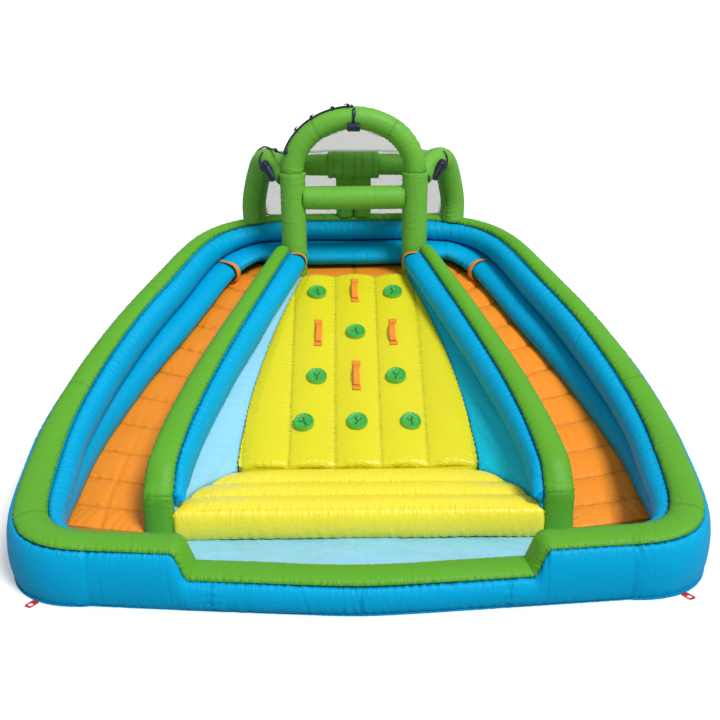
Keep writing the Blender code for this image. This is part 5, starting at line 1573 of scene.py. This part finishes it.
def build_hose():
    route = hose_route()
    rubber = material("navy_rubber")
    parts = [tube_piece("hose", route, HOSE_RADIUS, rubber)]
    ahead = directions(route)
    # ribbed coupling at the far end
    reach = np.linspace(0, 0.05, 26)
    radii = np.where((reach * 400).astype(int) % 3 == 0, 0.0115, 0.0138)
    radii[[0, -1]] = 0.009
    parts.append(tube_piece("coupling", route[-1] + ahead[-1] * (reach[:, None] - 0.004), radii, rubber))
    for number, target in enumerate(TIE_PLACES):
        place = np.argmin(np.abs(route[:, 0] - target))
        parts += build_tie(number, route[place], ahead[place], rubber)
    # short feed round the front of the arch to the middle head
    out = ARCH_RADIUS + 0.017
    turns = [math.radians(angle) for angle in np.linspace(84, -18, 15)]
    feed = [
        (0.018 * math.sin(3 * a), POST_Y - out * math.cos(a), POST_TOP + ARCH_RISE + out * math.sin(a))
        for a in turns]
    parts.append(tube_piece("feed", resample(smooth_line(feed, 6), 0.006), 0.0035, rubber, 10, (1, 0, 0)))
    dress(join("water_line", parts), ["water_hose"])


def build_sprinkler(name, tube_radius, head=None):
    """A head on a strap round the front of its tube; head is its middle and way, where it hangs askew."""
    hinge = Hinge(name)
    hinge.x = hinge.x * (1 if hinge.x[0] > 0 else -1)
    away = unit(np.cross((0, 0, 1), hinge.x))
    axes = np.stack((hinge.x, away, np.cross(hinge.x, away)))
    at = hinge.at + hinge.x * (hinge.low[0] + hinge.high[0]) / 2
    plastic = material("navy_plastic")
    # strap
    angles = np.radians(np.linspace(50, -45, 40))
    middle = tube_radius + 0.0075
    path = points_of(-middle * np.cos(angles), middle * np.sin(angles))
    rows = band_rows(path, blend(0.020, 0.032, smooth((np.linspace(0, 1, 40) - 0.6) / 0.3)), 0.009)
    parts = [Skin(at + rows[..., [1, 0, 2]] @ axes).build("strap", plastic)]
    # head: a short barrel with ribs, collars and a row of nozzles
    if head is not None:
        centre, way = head[0], unit(head[1])
        half, size = 0.095, 1.25
    else:
        turn, reach = math.radians(-28), tube_radius + 0.040
        centre = at + np.array((0, -reach * math.cos(turn), reach * math.sin(turn))) @ axes
        way, half, size = hinge.x, 0.055, 1.2
    x = np.linspace(-half, half, 90)
    share = np.abs(x) / half
    radius = 0.029 + 0.002 * (np.cos(x * 2 * np.pi / 0.0135) > 0.2) - 0.010 * smooth((share - 0.86) / 0.14)
    radius = size * np.where((share > 0.60) & (share < 0.72), 0.0318, radius)
    parts.append(tube_piece("barrel", centre + np.outer(x, way), radius, plastic, 32))
    out = square_off(np.array((0, -0.86, -0.51)), way)
    reach = np.linspace(0.024, 0.0395, 8)
    radii = np.interp(reach, (0.024, 0.036, 0.0395), (0.008, 0.0065, 0.0045))
    for spot in (-0.55 * half, 0.0, 0.55 * half):
        nozzle = centre + way * spot + np.outer(reach * size, out)
        parts.append(tube_piece("nozzle", nozzle, radii, plastic, 16, way))
    dress(join(name + "_head", parts), [name], body=name + "_body")


class SLIDE_OT_water(bpy.types.Operator):
    """Run the hose and hang the sprinklers"""

    bl_idname = "slide.water"
    bl_label = "Hose and sprinklers"

    def execute(self, context):
        build_hose()
        build_sprinkler("sprinkler_centre", ARCH_RADIUS)
        for side in (-1, 1):
            head = np.array(SIDE_HEAD) * (side, 1, 1)
            build_sprinkler("sprinkler_" + side_word(side), SIDE_ARCH_RADIUS, head)
        return {"FINISHED"}


# Anchors and inlet


def build_anchor(name):
    """A webbing tab with a bound eye."""
    hinge = Hinge(name)
    middle = (hinge.low[0] + hinge.high[0]) / 2
    length, half = hinge.high[2], (hinge.high[0] - hinge.low[0]) / 2
    turn = np.linspace(0, 2 * np.pi, 73)
    hole = length * 0.62
    square = (np.abs(np.cos(turn)) ** 5 + np.abs(np.sin(turn)) ** 5) ** -0.2
    outer = points_of(half * np.cos(turn) * square, length / 2 + length / 2 * np.sin(turn) * square)
    inner = points_of(EYE_RADIUS * np.cos(turn), hole + EYE_RADIUS * np.sin(turn))
    # from the bound eye over the top to the rim, and back below
    loop = (
        (0, 0), (0.03, 1.5), (0.16, 1.6), (0.28, 1.1), (0.6, 1.0), (0.85, 1.05), (0.97, 0.9),
        (1, 0), (0.97, -0.9), (0.6, -1.0), (0.28, -1.0), (0.03, -1.0))
    rows = []
    for share, high in loop:
        flat = inner + (outer - inner) * share
        rows.append(points_of(flat[:, 0] + middle, high * 0.0011, flat[:, 1]))
    tab = Skin(hinge.place(np.stack(rows, axis=1)))
    tab.crease[:, 4] = 0.5
    tab.crease[:, 6] = 0.35
    piece = tab.build(name + "_tab", material("red_web"), closed=True)
    bend = hinge.bend(0.1 * length, 0.9 * length)
    dress(piece, [name], body=name + "_body", bend=bend)


def build_inlet():
    """The sleeve that the blower is tied into, with a turned hem and its draw cord."""
    places = (
        (-0.20, 0.127), (-0.13, 0.127), (-0.08, 0.124), (-0.05, 0.121), (-0.03, 0.125), (-0.012, 0.128),
        (-0.001, 0.126), (-0.003, 0.121), (-0.02, 0.118), (-0.05, 0.113), (-0.10, 0.116), (-0.14, 0.112))
    line = resample(smooth_line(places, 8), count=80)
    rows = []
    for back, radius in line:
        ends = [INLET_MOUTH + INLET_AXIS * (back + step) for step in (-0.001, 0.001)]
        rows.append(tube_rows(ends, radius, INLET_SIDES, (0, 0, 1))[0])
    sleeve = Skin(rows)
    turns = np.linspace(0, 2 * np.pi, INLET_SIDES, endpoint=False)
    gather = np.exp(-((line[:, 0] + 0.05) / 0.035) ** 2)[:, None]
    sleeve.push += 0.004 * gather * ripple(turns * 0.127, 0.034, 560)
    sleeve.push += 0.002 * ripple(turns * 0.127, 0.09, 561)
    sleeve.crease = np.exp(-((line[:, 0] + 0.028) / 0.004) ** 2)[:, None] * np.ones(INLET_SIDES) * 0.6
    cloth = sleeve.build("inlet_sleeve", material("blue_cloth"))
    turn = np.linspace(0, 2 * np.pi, 61)
    across = np.cross(INLET_AXIS, (0, 0, 1))
    ring = INLET_MOUTH - INLET_AXIS * 0.05
    ring = ring + 0.1235 * (np.outer(np.cos(turn), across) + np.outer(np.sin(turn), (0, 0, 1)))
    cord = Skin(tube_rows(ring, 0.0045, 10, INLET_AXIS))
    cord = cord.build("inlet_cord", material("navy_rubber"), closed=True)
    dress(join("air_inlet", [cloth, cord]), ["air_inlet_sleeve"])


class SLIDE_OT_anchors(bpy.types.Operator):
    """Add the anchor tabs and the air inlet"""

    bl_idname = "slide.anchors"
    bl_label = "Anchors and inlet"

    def execute(self, context):
        for place in ("front_left", "front_right", "rear_left", "rear_right"):
            build_anchor("anchor_" + place)
        build_inlet()
        return {"FINISHED"}


# Net and pool floor


def two_sided(rows, thickness):
    """A thin sheet's top and underside as closed loops."""
    rows = np.asarray(rows, float)
    along = np.gradient(rows, axis=0)
    across = np.gradient(rows, axis=1)
    normal = np.cross(across, along)
    normal /= np.linalg.norm(normal, axis=2)[..., None]
    half = normal * thickness / 2
    return np.concatenate((rows + half, (rows - half)[:, ::-1]), axis=1)


def net_keys(columns):
    """Rows that the net is stretched over: the back of the front arch, the beam's sleeve, the rear cap."""
    y, z, _ = beam_place()
    line = side_arch_line(-1)
    joint, foot = line[len(line) // 2], line[-1]
    angles = np.radians(blend(90, 180 * 2 / 14, np.abs(columns)))
    arch_x = np.sign(columns) * POST_X * np.cos(angles)
    keys = [points_of(arch_x, POST_Y + ARCH_RADIUS + 0.002, POST_TOP + ARCH_RISE * np.sin(angles))]
    spread = abs(joint[0]) - SIDE_ARCH_RADIUS + 0.005
    over = smooth((SADDLE_HALF + 0.07 - np.abs(columns * spread)) / 0.06)
    for angle in np.linspace(112.5, -22.5, 13):
        a = math.radians(angle)
        sleeve = (BEAM_RADIUS + 0.022) * 0.97 * squared(math.cos(a), math.sin(a)) + 0.011
        reach = BEAM_RADIUS + blend(0.0275, sleeve - BEAM_RADIUS, over)
        keys.append(points_of(columns * spread, y + reach * math.cos(a), z + reach * math.sin(a)))
    low = abs(foot[0]) - SIDE_ARCH_RADIUS + 0.01
    keys.append(points_of(columns * low, RING_Y + CAP_REAR_WIDTH * 0.97, REAR_TOP + 0.028))
    return keys


def build_net():
    """One piece from the back of the front arch, over the beam's sleeve, down to the rear cap."""
    columns = np.linspace(-1, 1, NET_COLUMNS)
    middle_column = NET_COLUMNS // 2
    keys = net_keys(columns)
    rows = [keys[0]]
    for first, second in zip(keys, keys[1:]):
        count = 24 if np.linalg.norm(second[middle_column] - first[middle_column]) > 0.15 else 2
        bow = 0.06 * columns if second is keys[-1] else 0 * columns
        for k in range(1, count + 1):
            row = first + (second - first) * k / count
            row[:, 0] += bow * math.sin(math.pi * k / count)
            rows.append(row)
    rows = np.array(rows)
    inside = np.minimum(np.arange(len(rows)), np.arange(len(rows))[::-1]) / len(rows)
    loose = smooth(inside / 0.12)[:, None] * smooth((1 - np.abs(columns)) / 0.1)
    rows[..., 1] += 0.006 * loose * space_noise(rows, 0.12, 580)
    net = Skin(two_sided(rows, 0.002))
    # hems at the sides and the ends, and darts sewn from the sleeve's corners
    level = 0.9 * np.exp(-((1 - np.abs(columns)) / 0.035) ** 2)
    ends = np.minimum(net.along, net.along[-1] - net.along)[:, None]
    level = np.maximum(level, np.exp(-(ends / 0.012) ** 2))
    for sign in (-1, 1):
        middle = sign * (0.26 + 0.9 * np.clip(net.along[-1] - net.along - 0.30, 0, 9))[:, None]
        dart = np.exp(-((rows[..., 0] - middle) / 0.005) ** 2) * (np.abs(middle) < 0.55)
        level = np.maximum(level, 0.8 * dart)
    net.crease = np.concatenate((level, level[:, ::-1]), axis=1)
    piece = net.build("safety_netting", material("net_grey"), sharp=80)
    dress(piece, ["safety_net"])


def floor_half(outline, y):
    """Half the pool's width at a depth place."""
    near, far = outline[:-1], outline[1:]
    hit = (near[:, 1] - y) * (far[:, 1] - y) <= 0
    near, far = near[hit], far[hit]
    share = (y - near[:, 1]) / np.where(far[:, 1] == near[:, 1], 1, far[:, 1] - near[:, 1])
    return np.max(near[:, 0] + (far[:, 0] - near[:, 0]) * share)


def build_floor():
    front = front_path()
    front = front[front[:, 0] >= 0][:, :2]
    outline = np.vstack((front, Plan(1).at[::-1]))
    columns = np.linspace(-1, 1, 231)
    rows = []
    for y in np.linspace(-RING_Y + 0.006, RING_Y - 0.004, 215):
        half = max(floor_half(outline, y) - 0.004, 0.02)
        rows.append(points_of(columns * half, y, FLOOR_TOP + 0.001))
    rows = np.array(rows)
    turned = rows @ np.array(((0.96, 0.28, 0), (-0.28, 0.96, 0), (0, 0, 1)))
    slack = 0.0045 * space_noise(rows, 0.33, 590) + 0.003 * space_noise(turned * (0.4, 1.9, 1), 0.16, 591)
    wrinkle = 1 - np.abs(space_noise(turned * (0.55, 1.6, 1), 0.21, 592))
    slack += 0.006 * wrinkle ** 6
    pad = smooth((rows[..., 1] - DIVIDER_NOSE[1] + 0.30) / 0.25)
    slack += 0.004 * pad * ripple(rows[..., 0] + 0.3 * rows[..., 1], 0.16, 593)
    wall = smooth((1 - np.abs(columns)) / 0.02)[None, :]
    rows[..., 2] += np.clip(slack, -0.006, 0.011) * wall
    floor = Skin(two_sided(rows, 0.002))
    piece = floor.build("pool_floor_cloth", material("floor_cloth"), sharp=80)
    dress(piece, ["pool_floor"])


class SLIDE_OT_cloths(bpy.types.Operator):
    """Stretch the safety net and lay the pool floor"""

    bl_idname = "slide.cloths"
    bl_label = "Net and pool floor"

    def execute(self, context):
        build_net()
        build_floor()
        return {"FINISHED"}


# Stage


def in_scene(name, data):
    made = bpy.data.objects.new(name, data)
    bpy.context.scene.collection.objects.link(made)
    return made


def make_camera():
    """The photograph's view, worked out from a fit of the slide's outline."""
    yaw, pitch, roll = (math.radians(turn) for turn in CAMERA_TURNS)
    forward = Vector((math.sin(yaw) * math.cos(pitch), math.cos(yaw) * math.cos(pitch), -math.sin(pitch)))
    right = Vector((math.cos(yaw), -math.sin(yaw), 0))
    right = right * math.cos(roll) + right.cross(forward) * math.sin(roll)
    turned = Matrix((right, right.cross(forward), -forward)).transposed().to_4x4()
    data = bpy.data.cameras.new("photo_camera")
    data.sensor_width = 36
    data.lens = FOCAL_PIXELS / FRAME_PIXELS * data.sensor_width
    camera = in_scene("photo_camera", data)
    camera.matrix_world = Matrix.Translation(CAMERA_PLACE) @ turned
    bpy.context.scene.camera = camera


def make_world():
    world = bpy.data.worlds.new("studio")
    bpy.context.scene.world = world
    world.use_nodes = True
    tree = world.node_tree
    tree.nodes.clear()
    output = node(tree, "ShaderNodeOutputWorld")
    light = socket_value(node(tree, "ShaderNodeBackground"), Strength=finish().sky_strength)
    seen = socket_value(node(tree, "ShaderNodeBackground"), Strength=1.0)
    for item in (light, seen):
        item.inputs["Color"].default_value = (1, 1, 1, 1)
    rays = node(tree, "ShaderNodeLightPath")
    mix = node(tree, "ShaderNodeMixShader")
    tree.links.new(rays.outputs["Is Camera Ray"], mix.inputs[0])
    tree.links.new(light.outputs[0], mix.inputs[1])
    tree.links.new(seen.outputs[0], mix.inputs[2])
    tree.links.new(mix.outputs[0], output.inputs["Surface"])


def make_floor():
    mesh = bpy.data.meshes.new("studio_floor")
    corners = [(x * GROUND_REACH, y * GROUND_REACH, 0) for x, y in ((-1, -1), (1, -1), (1, 1), (-1, 1))]
    mesh.from_pydata(corners, [], [(0, 1, 2, 3)])
    ground = bpy.data.materials.new("studio_floor")
    ground.use_nodes = True
    tree = ground.node_tree
    shader = tree.nodes["Principled BSDF"]
    shader.inputs["Roughness"].default_value = 0.9
    shader.inputs["Emission Color"].default_value = (1, 1, 1, 1)
    # the camera sees a light floor that glows a little, and its bounced light is dimmer
    seen = node(tree, "ShaderNodeLightPath").outputs["Is Camera Ray"]
    glow = node(tree, "ShaderNodeMath", operation="MULTIPLY")
    glow.inputs[1].default_value = GROUND_GLOW
    bounce = node(tree, "ShaderNodeMix", data_type="RGBA")
    bounce.inputs[6].default_value = GROUND_BOUNCED
    bounce.inputs[7].default_value = GROUND_SEEN
    tree.links.new(seen, bounce.inputs[0])
    tree.links.new(bounce.outputs[2], shader.inputs["Base Color"])
    tree.links.new(seen, glow.inputs[0])
    tree.links.new(glow.outputs[0], shader.inputs["Emission Strength"])
    mesh.materials.append(ground)
    in_scene("studio_floor", mesh)


def make_lamps():
    key = bpy.data.lights.new("key_sun", "SUN")
    key.energy = finish().key_power
    key.angle = math.radians(SUN_ANGLE)
    lamp = in_scene("key_sun", key)
    lamp.location = SUN_PLACE
    lamp.rotation_euler = (-lamp.location).to_track_quat("-Z", "Y").to_euler()


class SLIDE_OT_stage(bpy.types.Operator):
    """Set up the floor, the lamps, the world and the camera"""

    bl_idname = "slide.stage"
    bl_label = "Stage"

    def execute(self, context):
        context.scene.view_settings.view_transform = "Standard"
        make_floor()
        make_world()
        make_lamps()
        make_camera()
        return {"FINISHED"}


STEPS = (
    SLIDE_OT_walls, SLIDE_OT_front, SLIDE_OT_lanes, SLIDE_OT_dividers, SLIDE_OT_climb, SLIDE_OT_arches,
    SLIDE_OT_grips, SLIDE_OT_water, SLIDE_OT_anchors, SLIDE_OT_cloths, SLIDE_OT_stage,
)


class SLIDE_PT_panel(bpy.types.Panel):
    """Lists the slide's settings and steps"""

    bl_idname = "SLIDE_PT_panel"
    bl_label = "Water Slide"
    bl_space_type = "VIEW_3D"
    bl_region_type = "UI"
    bl_category = "Water Slide"

    def draw(self, context):
        for name in SlideFinish.__annotations__:
            self.layout.prop(context.scene.slide_finish, name)
        for step in STEPS:
            self.layout.operator(step.bl_idname)


CLASSES = (SlideFinish, *STEPS, SLIDE_PT_panel)


def register():
    for item in CLASSES:
        bpy.utils.register_class(item)
    bpy.types.Scene.slide_finish = bpy.props.PointerProperty(type=SlideFinish)


def unregister():
    del bpy.types.Scene.slide_finish
    for item in reversed(CLASSES):
        bpy.utils.unregister_class(item)


def main():
    register()
    for step in STEPS:
        group, name = step.bl_idname.split(".")
        getattr(getattr(bpy.ops, group), name)()


if __name__ == "__main__":
    main()
